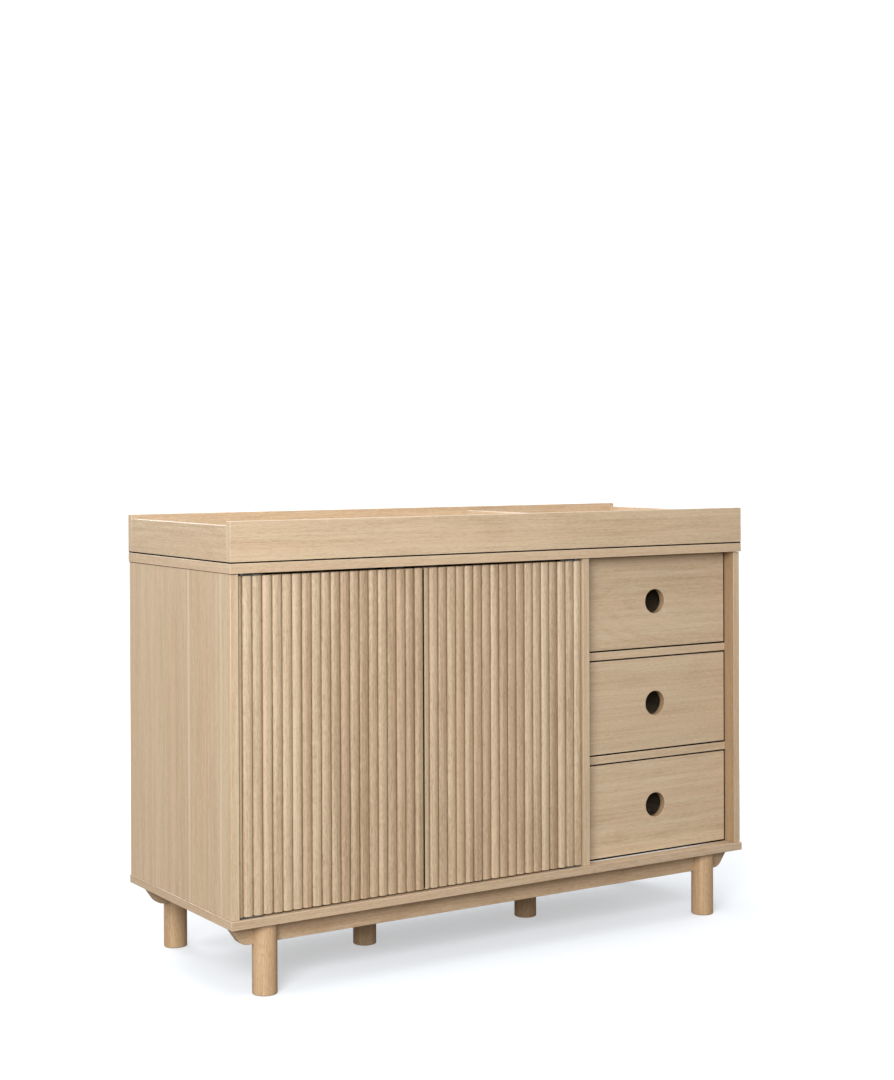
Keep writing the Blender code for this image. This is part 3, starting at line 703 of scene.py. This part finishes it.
def reed_tree():
    """Reeds side by side across a door, from the stated first one, trimmed at both of its edges."""
    tree, given, out = new_tree("GeometryNodeTree", "reeds", (
        ("Width", "Float", 0.38),
        ("Length", "Float", 0.6),
        ("Pitch", "Float", REED_PITCH),
        ("First Reed", "Float", 0.01),
        ("Rise", "Float", 0.006),
        ("Backing", "Float", REED_BACKING),
        ("Gap", "Float", REED_GAP),
        ("End Chamfer", "Float", REED_END_CHAMFER),
        ("Seed", "Int", 1),
        ("Corner", "Vector", (0, 0, 0)),
        ("Finish", "Material", None),
    ), (("Geometry", "Geometry"),))
    bar = add(tree, "GeometryNodeMeshCylinder", Vertices=REED_POINTS, Side_Segments=3, Radius=1.0, Depth=1.0)
    spot = add(tree, "GeometryNodeInputPosition").outputs[0]
    axes = add(tree, "ShaderNodeSeparateXYZ", _0=spot).outputs
    crown = add(tree, "ShaderNodeClamp", Value=axes[1], Min=0.0, Max=1.0).outputs[0]
    front = worked_out(tree, "GREATER_THAN", axes[1], -0.001)
    half = product(tree, difference(tree, given["Pitch"], given["Gap"]), 0.5)
    spread_out = difference(tree, 1.6, product(tree, front, 0.6))
    widened = product(tree, axes[0], spread_out)
    side = add(tree, "ShaderNodeClamp", Value=widened, Min=-1.0, Max=1.0).outputs[0]
    tip = worked_out(tree, "GREATER_THAN", worked_out(tree, "ABSOLUTE", axes[2]), 0.3)
    drawn_in = product(tree, tip, given["End Chamfer"])
    reach = difference(tree, half, drawn_in)
    across = product(tree, side, reach)
    rise = product(tree, crown, difference(tree, given["Rise"], drawn_in))
    depth = sum_of(tree, rise, product(tree, given["Backing"], front))
    toward = product(tree, depth, -1.0)
    sign = worked_out(tree, "SIGN", axes[2])
    half_length = product(tree, given["Length"], 0.5)
    inner = difference(tree, half_length, given["End Chamfer"])
    stretch = sum_of(tree, product(tree, tip, given["End Chamfer"]), inner)
    upright = product(tree, sign, stretch)
    profile = joined(tree, x=across, y=toward, z=upright)
    deep = difference(tree, 1.0, crown)
    grooved = with_value(tree, bar.outputs["Mesh"], "groove", deep)
    tipped = with_value(tree, grooved, "arris", tip)
    reed = add(tree, "GeometryNodeSetPosition", Geometry=tipped, Position=profile)
    room = difference(tree, given["Width"], given["First Reed"])
    whole = worked_out(tree, "FLOOR", worked_out(tree, "DIVIDE", room, given["Pitch"]))
    count = sum_of(tree, whole, 2.0)
    start = difference(tree, given["First Reed"], product(tree, given["Pitch"], 0.5))
    step = joined(tree, x=given["Pitch"])
    row = add(tree, "GeometryNodeMeshLine", Count=count, Start_Location=joined(tree, x=start), Offset=step)
    placed = add(
        tree, "GeometryNodeInstanceOnPoints", Points=row.outputs[0], Instance=reed.outputs[0]
    ).outputs[0]
    for name, seed_shift, top in (("tone", 0, 1.0), ("strip", 7, 40.0)):
        seed = sum_of(tree, given["Seed"], float(seed_shift))
        placed = with_value(tree, placed, name, drawn_lot(tree, seed, top), domain="INSTANCE")
    real = add(tree, "GeometryNodeRealizeInstances", Geometry=placed).outputs[0]
    where = add(tree, "ShaderNodeSeparateXYZ", _0=spot).outputs
    strip = add(tree, "GeometryNodeInputNamedAttribute", {"data_type": "FLOAT"}, Name="strip").outputs[0]
    grain = joined(tree, x=where[0], y=strip, z=sum_of(tree, where[2], strip))
    laid = with_value(tree, real, "grain", grain, "FLOAT_VECTOR")
    trimmed_x = add(tree, "ShaderNodeClamp", Value=where[0], Min=0.0, Max=given["Width"]).outputs[0]
    trimmed = joined(tree, x=trimmed_x, y=where[1], z=where[2])
    cut = add(tree, "GeometryNodeSetPosition", Geometry=laid, Position=trimmed).outputs[0]
    return closed_with(tree, moved_by(tree, cut, given["Corner"]), given["Finish"], out)


REEDS = reed_tree()


def grown(name, tree, sizes, start=None):
    """Runs a geometry tree with its named sizes, and keeps the result as a plain mesh."""
    holder = linked(name + "_pattern", start or bpy.data.meshes.new(name + "_start"))
    modifier = holder.modifiers.new("pattern", "NODES")
    modifier.node_group = tree
    for item in tree.interface.items_tree:
        if item.item_type == "SOCKET" and item.in_out == "INPUT" and item.name in sizes:
            modifier[item.identifier] = sizes[item.name]
    mesh = settled(holder)
    mesh.name = name
    return mesh


for number, (side, first_reed) in enumerate(FIRST_REEDS):
    door = side + "_door"
    board(door + "_panel", Z, DOOR_FIGURE + number, DOOR_ARRIS, DOOR_OAK, door)
    low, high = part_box(door + "_reeds")
    mesh = grown(door + "_reed_facing", REEDS, {
        "Width": high.x - low.x,
        "Length": high.z - low.z,
        "First Reed": first_reed,
        "Rise": high.y - low.y - REED_BACKING,
        "Seed": 5 + number,
        "Corner": (low.x, high.y, (low.z + high.z) / 2),
        "Finish": REEDED_OAK,
    })
    shaded_round(mesh, 40)
    facing = linked(door + "_reed_facing", mesh)
    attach(facing, door)
    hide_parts(door + "_reeds")


# ---- Drawer rails ---------------------------------------------------------------------------------
# Two veneered rails between the drawers, fixed between the divider and the right side and set back with
# the drawer fronts.

RAIL_FIGURE = 41.3

FRONT_OAK = oak_finish(
    "drawer_front_oak_veneer", pale=(0.600, 0.475, 0.325, 1), rose=(0.590, 0.445, 0.302, 1),
    dark=(0.425, 0.302, 0.188, 1), contrast=0.95, arches=0.09, pores=0.4, gloss=0.44, relief=0.18,
)
for number, node in enumerate(("lower_drawer_rail", "upper_drawer_rail")):
    board(node, X, RAIL_FIGURE + number, CARCASS_ARRIS, FRONT_OAK, "cabinet")


# ---- Drawers --------------------------------------------------------------------------------------
# Three drawers. Each has a veneered front with a round finger hole bored through it, and a box of pale
# foil-faced board whose sides are grooved for the bottom and for the runners.

DRAWER_NAMES = ("lower", "middle", "upper")
HOLE_RADIUS = 0.025
HOLE_SIDES = 128
HOLE_LIP = 0.0009
BOX_ARRIS = 0.0005
FRONT_FIGURE = 51.3
FIGURE_STEP = 1.9
BOX_FIGURE = 61.3
BOX_FIGURE_STEP = 5
SANDED_OFF = 0.0012


def plain_board_finish(name, colour, shade, roughness):
    """Foil or fibreboard: nearly even colour, faint cross-laid mottling and a slight sheen change."""
    material, tree, shader = new_finish(name)
    where = attribute(tree, "grain", "Vector")
    streak = stretched_noise(tree, where, (160.0, 160.0, 6.0), 3.0)
    mottle = stretched_noise(tree, where, (24.0, 24.0, 14.0), 4.0)
    tone = spread(tree, sum_of(tree, streak, mottle), 0.75, 1.25)
    arris = attribute(tree, "arris")
    wear_and_highlight = group_node(tree, WEAR_AND_HIGHLIGHT, Color=mixed(tree, tone, colour, shade), Arris=arris)
    tree.links.new(wear_and_highlight.outputs["Color"], shader.inputs["Base Color"])
    tree.links.new(sum_of(tree, wear_and_highlight.outputs["Dullness"], roughness), shader.inputs["Roughness"])
    raise_surface(tree, shader, 0.12, 0.0002, streak)
    return material


DRAWER_BOARD = plain_board_finish("drawer_foil_board", (0.66, 0.54, 0.40, 1), (0.58, 0.46, 0.33, 1), 0.5)


def bored_front(node, number):
    """The front board with its finger hole bored smoothly in place of the node's faceted one."""
    low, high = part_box(node)
    middle = (low + high) / 2
    sanded = Vector((SANDED_OFF, 0, SANDED_OFF))
    blank = box_mesh("front", low + sanded, high - sanded)
    mesh = bored(blank, ((middle, Y, HOLE_RADIUS, CUT_PAST * 2),), HOLE_SIDES)
    bm = bmesh.new()
    bm.from_mesh(mesh)
    join_flat(bm)
    eased = ease_arrises(bm, HOLE_LIP, 3, 40)
    lay_grain(bm, X, number, eased)
    for face in bm.faces:
        offset = face.calc_center_median() - middle
        in_hole = math.hypot(offset.x, offset.z) < HOLE_RADIUS + HOLE_LIP
        # Painted shade: the finger hole's walls get the darker tint, standing in for the shade inside the
        # hole.
        if in_hole and abs(face.normal.y) < 0.95:
            face.smooth = True
            for loop in face.loops:
                loop[bm.loops.layers.float["painted_shade"]] = 1.0
    return bm


for index, name in enumerate(DRAWER_NAMES):
    drawer = name + "_drawer"
    node = drawer + "_front"
    bm = bored_front(node, FRONT_FIGURE + index * FIGURE_STEP)
    front = linked(node + "_board", board_mesh(node + "_board", bm, FRONT_OAK))
    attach(front, drawer)
    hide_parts(node)
    for number, (part, along) in enumerate((("left_side", Y), ("right_side", Y), ("back", X), ("bottom", Y))):
        figure = BOX_FIGURE + index * BOX_FIGURE_STEP + number
        board(drawer + "_" + part, along, figure, BOX_ARRIS, DRAWER_BOARD, drawer)


# ---- Changing tray --------------------------------------------------------------------------------
# A frame of veneered boards that lies on the top: long front and back walls over the end walls, and a
# divider that marks off a side bay. It lifts off when the changing years are over.

TRAY_FIGURE = 81.3
TRAY_ARRIS = 0.0007
TRAY_FOOT_PLANED = 0.0011

TRAY_OAK = oak_finish(
    "tray_oak_veneer", pale=(0.595, 0.465, 0.315, 1), rose=(0.585, 0.44, 0.297, 1),
    dark=(0.42, 0.295, 0.182, 1), contrast=1.0, arches=0.10, pores=0.45, gloss=0.42, relief=0.18,
)
for number, (node, along) in enumerate((
    ("tray_front_wall", X),
    ("tray_back_wall", X),
    ("tray_left_wall", Y),
    ("tray_right_wall", Y),
    ("tray_divider", Y),
)):
    board(
        node, along, TRAY_FIGURE + number, TRAY_ARRIS, TRAY_OAK, "changing_tray", segments=3,
        foot=TRAY_FOOT_PLANED,
    )


FELT_INSET = 0.0005
FELT_AIR = 0.0001
FELT_ARRIS = 0.0003


def felt_finish():
    """Dark brown wool felt, near black, with lint of two shades, quite matt; made this dark so that it paints
    the shade in the gaps it sits in.
    """
    material, tree, shader = new_finish("shadow_dark_felt")
    where = object_place(tree)
    lint = stretched_noise(tree, where, (900.0, 900.0, 900.0), 3.0, 0.7)
    shade = mixed(tree, spread(tree, lint, 0.35, 0.65), (0.005, 0.0035, 0.0025, 1), (0.016, 0.011, 0.008, 1))
    tree.links.new(shade, shader.inputs["Base Color"])
    tree.links.new(spread(tree, lint, 0.3, 0.7, 0.88, 0.98), shader.inputs["Roughness"])
    raise_surface(tree, shader, 0.6, 0.0003, lint)
    shader.inputs["Specular IOR Level"].default_value = 0.15
    return material


SHADOW_DARK_FELT = felt_finish()


def felt_strips(name, boxes, body):
    """Felt strips with softened edges, one closed strip for each box."""
    bm = bmesh.new()
    for low, high in boxes:
        add_box(bm, low, high)
    ease_arrises(bm, FELT_ARRIS, 2, 60)
    strips = linked(name, board_mesh(name, bm, SHADOW_DARK_FELT))
    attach(strips, body)


under_walls = []
top_of_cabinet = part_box("top_panel")[1].z
for node in ("tray_front_wall", "tray_back_wall", "tray_left_wall", "tray_right_wall", "tray_divider"):
    low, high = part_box(node)
    inset = Vector((FELT_INSET, FELT_INSET, 0))
    strip_low = low + inset
    strip_low.z = top_of_cabinet + FELT_AIR
    strip_high = high - inset
    strip_high.z = low.z + TRAY_FOOT_PLANED
    under_walls.append((strip_low, strip_high))
# The tray rests on these felt strips; their near-black felt also paints the shadow in the gap under the tray.
felt_strips("tray_shadow_felt_strips", under_walls, "changing_tray")


# ---- Felt in the openings ------------------------------------------------------------------------
# Thin near-black felt strips glued round the drawer openings and down the right door's free edge, set just
# behind the gaps: dark pieces put where there is only shade, so they paint the shadow lines round the fronts
# dark.

FRONT_GAP = 0.002
OPENING_FELT = 0.0024
SIDE_FELT = 0.0017
FELT_BEHIND_FACE = 0.0010
EDGE_FELT = 0.0015
EDGE_FELT_BEHIND_CREST = 0.0018
FELT_WIDTH = 0.010
DOOR_FELT_END = 0.003

for name in DRAWER_NAMES:
    low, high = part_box(name + "_drawer_front")
    near_y = low.y + FELT_BEHIND_FACE
    far_y = near_y + FELT_WIDTH
    left_x = low.x - FRONT_GAP
    right_x = high.x + FRONT_GAP
    foot_z = low.z - FRONT_GAP
    head_z = high.z + FRONT_GAP
    # Painted shade: near-black felt strips behind the gaps round each drawer front, making the shadow lines
    # dark.
    felt_strips(name + "_opening_shadow_felt", (
        ((left_x, near_y, foot_z), (right_x, far_y, foot_z + OPENING_FELT)),
        ((left_x, near_y, head_z - OPENING_FELT), (right_x, far_y, head_z)),
        ((left_x, near_y, foot_z + OPENING_FELT), (left_x + SIDE_FELT, far_y, head_z - OPENING_FELT)),
        ((right_x - SIDE_FELT, near_y, foot_z + OPENING_FELT), (right_x, far_y, head_z - OPENING_FELT)),
    ), "cabinet")

low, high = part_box("right_door_panel")
crest_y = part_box("right_door_reeds")[0].y
# Painted shade: a near-black felt strip along the right door's free edge, darkening the gap there.
felt_strips("right_door_edge_shadow_felt", ((
    (low.x - EDGE_FELT, crest_y + EDGE_FELT_BEHIND_CREST, low.z + DOOR_FELT_END),
    (low.x, high.y - FELT_BEHIND_FACE, high.z - DOOR_FELT_END),
),), "right_door")


# ---- Back -----------------------------------------------------------------------------------------
# A thin fibreboard back with a printed oak face, pinned to the rear edges of the carcass and up the
# divider with small nails, whose heads sit in dimples.

BACK_BOARD = plain_board_finish("printed_back_board", (0.56, 0.43, 0.29, 1), (0.48, 0.36, 0.235, 1), 0.6)
BACK_FIGURE = 91.3
BACK_ARRIS = 0.0004
NAIL_PITCH = 0.095
NAIL_INSET = 0.009
NAIL_DIMPLE_RADIUS = 0.0019
NAIL_DIMPLE_DEPTH = 0.0007


def nail_places():
    """Evenly spaced places along the four edges of the back's rear face, and up the divider."""
    low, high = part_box("back_panel")
    left, right = low.x + NAIL_INSET, high.x - NAIL_INSET
    foot, head = low.z + NAIL_INSET, high.z - NAIL_INSET
    along = round((right - left) / NAIL_PITCH)
    upward = round((head - foot) / NAIL_PITCH)
    places = []
    for step in range(along + 1):
        x = left + (right - left) * step / along
        places += [(x, high.y, foot), (x, high.y, head)]
    divider_x = (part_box("centre_divider")[0].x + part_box("centre_divider")[1].x) / 2
    for step in range(1, upward):
        z = foot + (head - foot) * step / upward
        places += [(left, high.y, z), (right, high.y, z), (divider_x, high.y, z)]
    return places


dimples = [(place, Y, NAIL_DIMPLE_RADIUS, NAIL_DIMPLE_DEPTH * 2) for place in nail_places()]
board("back_panel", X, BACK_FIGURE, BACK_ARRIS, BACK_BOARD, "cabinet", bores=dimples)


# ---- Hinges, latches and runners ------------------------------------------------------------------
# Black zinc-plated pin hinges let into base and top, moulded push latches under the top, and hard plastic
# runners screwed to the divider and the right side.

METAL_ARRIS = 0.0003
LATCH_ARRIS = 0.0012
PLUNGER_ARRIS = 0.0010
RUNNER_ARRIS = 0.0008


def moulded_finish(name, colour, shade):
    """Moulded plastic with a fine spark-eroded texture."""
    material, tree, shader = new_finish(name)
    where = object_place(tree)
    texture = stretched_noise(tree, where, (1500.0, 1500.0, 1500.0), 2.0)
    cloud = stretched_noise(tree, where, (60.0, 60.0, 60.0), 2.0)
    tree.links.new(mixed(tree, spread(tree, cloud, 0.35, 0.65), colour, shade), shader.inputs["Base Color"])
    tree.links.new(spread(tree, texture, 0.3, 0.7, 0.42, 0.56), shader.inputs["Roughness"])
    raise_surface(tree, shader, 0.15, 0.0001, texture)
    return material


ZINC = drawn_metal("black_zinc_plated_steel", (0.16, 0.16, 0.17, 1), (0.23, 0.22, 0.21, 1))
RUNNER_PLASTIC = moulded_finish("runner_plastic", (0.76, 0.75, 0.71, 1), (0.70, 0.69, 0.65, 1))
LATCH_PLASTIC = moulded_finish("latch_plastic", (0.46, 0.46, 0.47, 1), (0.41, 0.41, 0.42, 1))

for side in ("left", "right"):
    door = side + "_door"
    for end in ("top", "foot"):
        board(door + "_" + end + "_hinge_leaf", X, 0.0, METAL_ARRIS, ZINC, door)
        board(door + "_" + end + "_hinge_socket", X, 0.0, METAL_ARRIS, ZINC, "cabinet")
    board(side + "_latch_body", Y, 0.0, LATCH_ARRIS, LATCH_PLASTIC, "cabinet", segments=3)
    board(
        side + "_latch_plunger", Y, 0.0, PLUNGER_ARRIS, LATCH_PLASTIC, side + "_latch_plunger",
        segments=3,
    )
for name in DRAWER_NAMES:
    for side in ("left", "right"):
        node = name + "_" + side + "_runner"
        board(node, Y, 0.0, RUNNER_ARRIS, RUNNER_PLASTIC, "cabinet")


# ---- Screws, cam locks and nails ------------------------------------------------------------------
# Screws with cross recesses fix the hinges, latches, runners and skirts; cam locks pull the boards
# of the cupboard together, and small nails hold the back. All heads sit flush in what they hold.

HEAD_SIDES = 24
HEAD_PROUD = 0.00012
HEAD_DEPTH_SHARE = 0.45


def heads_tree():
    """A countersunk head with a cross recess at every point, facing as its point says, spun at random."""
    tree, given, out = new_tree("GeometryNodeTree", "countersunk_heads", (
        ("Geometry", "Geometry", None),
        ("Head Radius", "Float", 0.003),
        ("Head Depth", "Float", 0.0014),
        ("Recess Width", "Float", 0.0008),
        ("Proud", "Float", HEAD_PROUD),
        ("Seed", "Int", 1),
        ("Finish", "Material", None),
    ), (("Geometry", "Geometry"),))
    radius, depth = given["Head Radius"], given["Head Depth"]
    head = add(
        tree, "GeometryNodeMeshCone", Vertices=HEAD_SIDES, Radius_Top=radius,
        Radius_Bottom=product(tree, radius, 0.5), Depth=depth,
    ).outputs["Mesh"]
    rise = difference(tree, given["Proud"], depth)
    head = moved_by(tree, head, joined(tree, z=rise))
    arm = product(tree, radius, 1.15)
    for length, width in ((arm, given["Recess Width"]), (given["Recess Width"], arm)):
        size = joined(tree, x=length, y=width, z=depth)
        bar = add(tree, "GeometryNodeMeshCube", Size=size).outputs["Mesh"]
        lifted = moved_by(tree, bar, joined(tree, z=given["Proud"]))
        cut = add(tree, "GeometryNodeMeshBoolean", {"operation": "DIFFERENCE", "solver": "EXACT"})
        tree.links.new(head, cut.inputs["Mesh 1"])
        tree.links.new(lifted, cut.inputs["Mesh 2"])
        head = cut.outputs["Mesh"]
    facing = add(
        tree, "GeometryNodeInputNamedAttribute", {"data_type": "FLOAT_VECTOR"}, Name="facing"
    ).outputs[0]
    aimed = add(tree, "FunctionNodeAlignRotationToVector", {"axis": "Z"}, Vector=facing).outputs[0]
    spin = joined(tree, z=drawn_lot(tree, given["Seed"], math.pi))
    turned = add(
        tree, "FunctionNodeRotateRotation", {"rotation_space": "LOCAL"}, Rotation=aimed, Rotate_By=spin
    ).outputs[0]
    placed = add(
        tree, "GeometryNodeInstanceOnPoints", Points=given["Geometry"], Instance=head, Rotation=turned
    ).outputs[0]
    real = add(tree, "GeometryNodeRealizeInstances", Geometry=placed).outputs[0]
    return closed_with(tree, real, given["Finish"], out)


HEADS = heads_tree()


def heads(name, spots, body, radius, recess, finish, proud=HEAD_PROUD):
    """Heads at the given (place, facing) spots, as one piece on one body."""
    start = bpy.data.meshes.new(name + "_spots")
    start.from_pydata([place for place, facing in spots], [], [])
    aims = start.attributes.new("facing", "FLOAT_VECTOR", "POINT")
    for item, (place, facing) in zip(aims.data, spots):
        item.vector = facing
    mesh = grown(name, HEADS, {
        "Head Radius": radius,
        "Head Depth": radius * HEAD_DEPTH_SHARE,
        "Recess Width": recess,
        "Proud": proud,
        "Seed": len(spots),
        "Finish": finish,
    }, start)
    piece = linked(name, mesh)
    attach(piece, body)


DOWN, LEFT, RIGHT, REARWARD = (0, 0, -1), (-1, 0, 0), (1, 0, 0), (0, 1, 0)
LEAF_PLATE = 0.002
HINGE_SCREWS = (0.0205, 0.0375)
HINGE_SCREW_RADIUS = 0.0028
HINGE_SCREW_RECESS = 0.0008

cabinet_spots = []
for side, inward in (("left", 1), ("right", -1)):
    door_spots = []
    for end, up in (("top", 1), ("foot", -1)):
        low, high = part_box(side + "_door_" + end + "_hinge_leaf")
        start_x = low.x if inward > 0 else high.x
        leaf_z = low.z + LEAF_PLATE if up > 0 else high.z - LEAF_PLATE
        socket_low, socket_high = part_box(side + "_door_" + end + "_hinge_socket")
        socket_z = socket_low.z if up > 0 else socket_high.z
        for reach in HINGE_SCREWS:
            spot_x = start_x + inward * reach
            spot_y = (low.y + high.y) / 2
            door_spots.append(((spot_x, spot_y, leaf_z), (0, 0, up)))
            cabinet_spots.append(((spot_x, spot_y, socket_z), (0, 0, -up)))
    name = side + "_door_hinge_screws"
    heads(name, door_spots, side + "_door", HINGE_SCREW_RADIUS, HINGE_SCREW_RECESS, ZINC)
heads("hinge_socket_screws", cabinet_spots, "cabinet", HINGE_SCREW_RADIUS, HINGE_SCREW_RECESS, ZINC)

FIXING_SCREW_RADIUS = 0.0034
FIXING_SCREW_RECESS = 0.0010
RUNNER_SCREW_INSET = 0.022
LATCH_SCREW_INSET = 0.008
SKIRT_SCREW_SHARES = (0.15, 0.38, 0.62, 0.85)
fixing_spots = []
for name in DRAWER_NAMES:
    for side, facing in (("left", RIGHT), ("right", LEFT)):
        low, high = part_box(name + "_" + side + "_runner")
        face_x = high.x if side == "left" else low.x
        for y in (low.y + RUNNER_SCREW_INSET, (low.y + high.y) / 2, high.y - RUNNER_SCREW_INSET):
            fixing_spots.append(((face_x, y, (low.z + high.z) / 2), facing))
for side in ("left", "right"):
    low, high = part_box(side + "_latch_body")
    for y in (low.y + LATCH_SCREW_INSET, high.y - LATCH_SCREW_INSET):
        fixing_spots.append((((low.x + high.x) / 2, y, low.z), DOWN))
for skirt in ("front_skirt", "rear_skirt"):
    low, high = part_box(skirt)
    for share in SKIRT_SCREW_SHARES:
        spot_x = low.x + (high.x - low.x) * share
        fixing_spots.append(((spot_x, (low.y + high.y) / 2, low.z), DOWN))
heads(
    "runner_latch_and_skirt_screws", fixing_spots, "cabinet", FIXING_SCREW_RADIUS, FIXING_SCREW_RECESS, NICKEL
)

CAM_RADIUS = 0.0075
CAM_RECESS = 0.0014
CAM_FROM_BOARD = 0.034
CAM_PLACES_Y = (-0.165, 0.13)
cam_spots = []
for wall_x, facing in ((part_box("left_side_panel")[1].x, RIGHT), (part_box("centre_divider")[0].x, LEFT)):
    for y in CAM_PLACES_Y:
        cam_spots.append(((wall_x, y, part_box("base_panel")[1].z + CAM_FROM_BOARD), facing))
        cam_spots.append(((wall_x, y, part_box("top_panel")[0].z - CAM_FROM_BOARD), facing))
heads("cam_locks", cam_spots, "cabinet", CAM_RADIUS, CAM_RECESS, NICKEL)

NAIL_HEAD_RADIUS = 0.0016
NAIL_RECESS = 0.00002
NAIL_SUNK = 0.0002
nail_spots = [(place, REARWARD) for place in nail_places()]
heads("back_nails", nail_spots, "cabinet", NAIL_HEAD_RADIUS, NAIL_RECESS, NICKEL, proud=-NAIL_SUNK)


# ---- Studio ---------------------------------------------------------------------------------------
# A white sweep under broad soft light, and a camera a little above the tray, left of the front. Of the
# five square soft lights the strongest stands at the front left and the next one behind.

SWEEP_SIZE = 60.0
SKY_STRENGTH = 0.42
BACKDROP_STRENGTH = 1.05
FLOOR_GLOW = 0.42
SHADOW_REACH = 1.1
CAMERA_PLACE = (-2.0505, -3.1648, 0.9835)
CAMERA_TURN = 32.852
CAMERA_PITCH = -0.421
CAMERA_ROLL = -0.229
CAMERA_LENS = 61.468
CAMERA_SHIFT = (0.0041, -0.0721)

bm = bmesh.new()
bmesh.ops.create_grid(bm, x_segments=1, y_segments=1, size=SWEEP_SIZE / 2)
sweep_mesh = mesh_from("sweep", bm)
sweep = linked("sweep", sweep_mesh)
paper, paper_tree, paper_shader = new_finish("white_paper")
floor_place = object_place(paper_tree)
fibres = stretched_noise(paper_tree, floor_place, (90.0, 90.0, 90.0), 2.0)
shades = mixed(paper_tree, fibres, (0.565, 0.595, 0.635, 1), (0.575, 0.605, 0.645, 1))
straight = add(paper_tree, "ShaderNodeLightPath").outputs["Is Camera Ray"]
paper_tree.links.new(
    mixed(paper_tree, straight, (0.21, 0.185, 0.155, 1), shades), paper_shader.inputs["Base Color"]
)
paper_shader.inputs["Roughness"].default_value = 0.9
paper_shader.inputs["Specular IOR Level"].default_value = 0.1
paper_shader.inputs["Emission Color"].default_value = (0.97, 0.985, 1.0, 1)
away = add(paper_tree, "ShaderNodeVectorMath", {"operation": "LENGTH"}, _0=floor_place).outputs["Value"]
glow = spread(paper_tree, away, SHADOW_REACH, SHADOW_REACH * 3, FLOOR_GLOW, 1.0)
paper_tree.links.new(product(paper_tree, glow, straight), paper_shader.inputs["Emission Strength"])
sweep_mesh.materials.append(paper)

world = bpy.data.worlds.new("studio")
bpy.context.scene.world = world
world.use_nodes = True
sky = world.node_tree.nodes["Background"]
sky.inputs["Color"].default_value = (1.0, 1.0, 1.0, 1)
sky.inputs["Strength"].default_value = SKY_STRENGTH
backdrop = add(world.node_tree, "ShaderNodeBackground", Color=(1.0, 1.0, 1.0, 1), Strength=BACKDROP_STRENGTH)
paths = add(world.node_tree, "ShaderNodeLightPath").outputs
seen = worked_out(world.node_tree, "MAXIMUM", paths["Is Camera Ray"], paths["Is Glossy Ray"])
both = add(world.node_tree, "ShaderNodeMixShader", _0=seen, _1=sky.outputs[0], _2=backdrop.outputs[0])
world.node_tree.links.new(both.outputs[0], world.node_tree.nodes["World Output"].inputs[0])


def softbox(name, place, target, size, watts):
    """A square soft light turned to face a point."""
    light = bpy.data.lights.new(name, "AREA")
    light.size = size
    light.energy = watts
    lamp = bpy.data.objects.new(name, light)
    lamp.location = place
    lamp.rotation_euler = (Vector(target) - Vector(place)).to_track_quat("-Z", "Y").to_euler()
    bpy.context.scene.collection.objects.link(lamp)


softbox("front_softbox", (-2.9, -3.2, 2.1), (-0.1, 0, 0.5), 2.1, 218)
softbox("side_softbox", (-3.2, 0.8, 1.7), (-0.5, 0, 0.5), 1.6, 17)
softbox("overhead_softbox", (0.1, -0.3, 3.2), (0, 0, 0), 2.4, 38)
softbox("right_softbox", (3.4, 0.7, 1.6), (0.5, 0, 0.5), 1.8, 18)
softbox("rear_softbox", (-0.6, 3.8, 2.4), (0.0, 0, 0.4), 2.2, 90)

camera_data = bpy.data.cameras.new("view")
camera_data.lens = CAMERA_LENS
camera_data.sensor_width = 36.0
camera_data.shift_x = CAMERA_SHIFT[0]
camera_data.shift_y = CAMERA_SHIFT[1]
camera_data.clip_end = 200.0
camera = bpy.data.objects.new("view", camera_data)
aim = Matrix.Rotation(math.radians(-CAMERA_TURN), 4, "Z")
tilt = Matrix.Rotation(math.radians(90 + CAMERA_PITCH), 4, "X")
roll = Matrix.Rotation(math.radians(CAMERA_ROLL), 4, "Z")
camera.matrix_world = Matrix.Translation(CAMERA_PLACE) @ aim @ tilt @ roll
bpy.context.scene.collection.objects.link(camera)
bpy.context.scene.camera = camera
bpy.context.scene.view_settings.view_transform = "Standard"
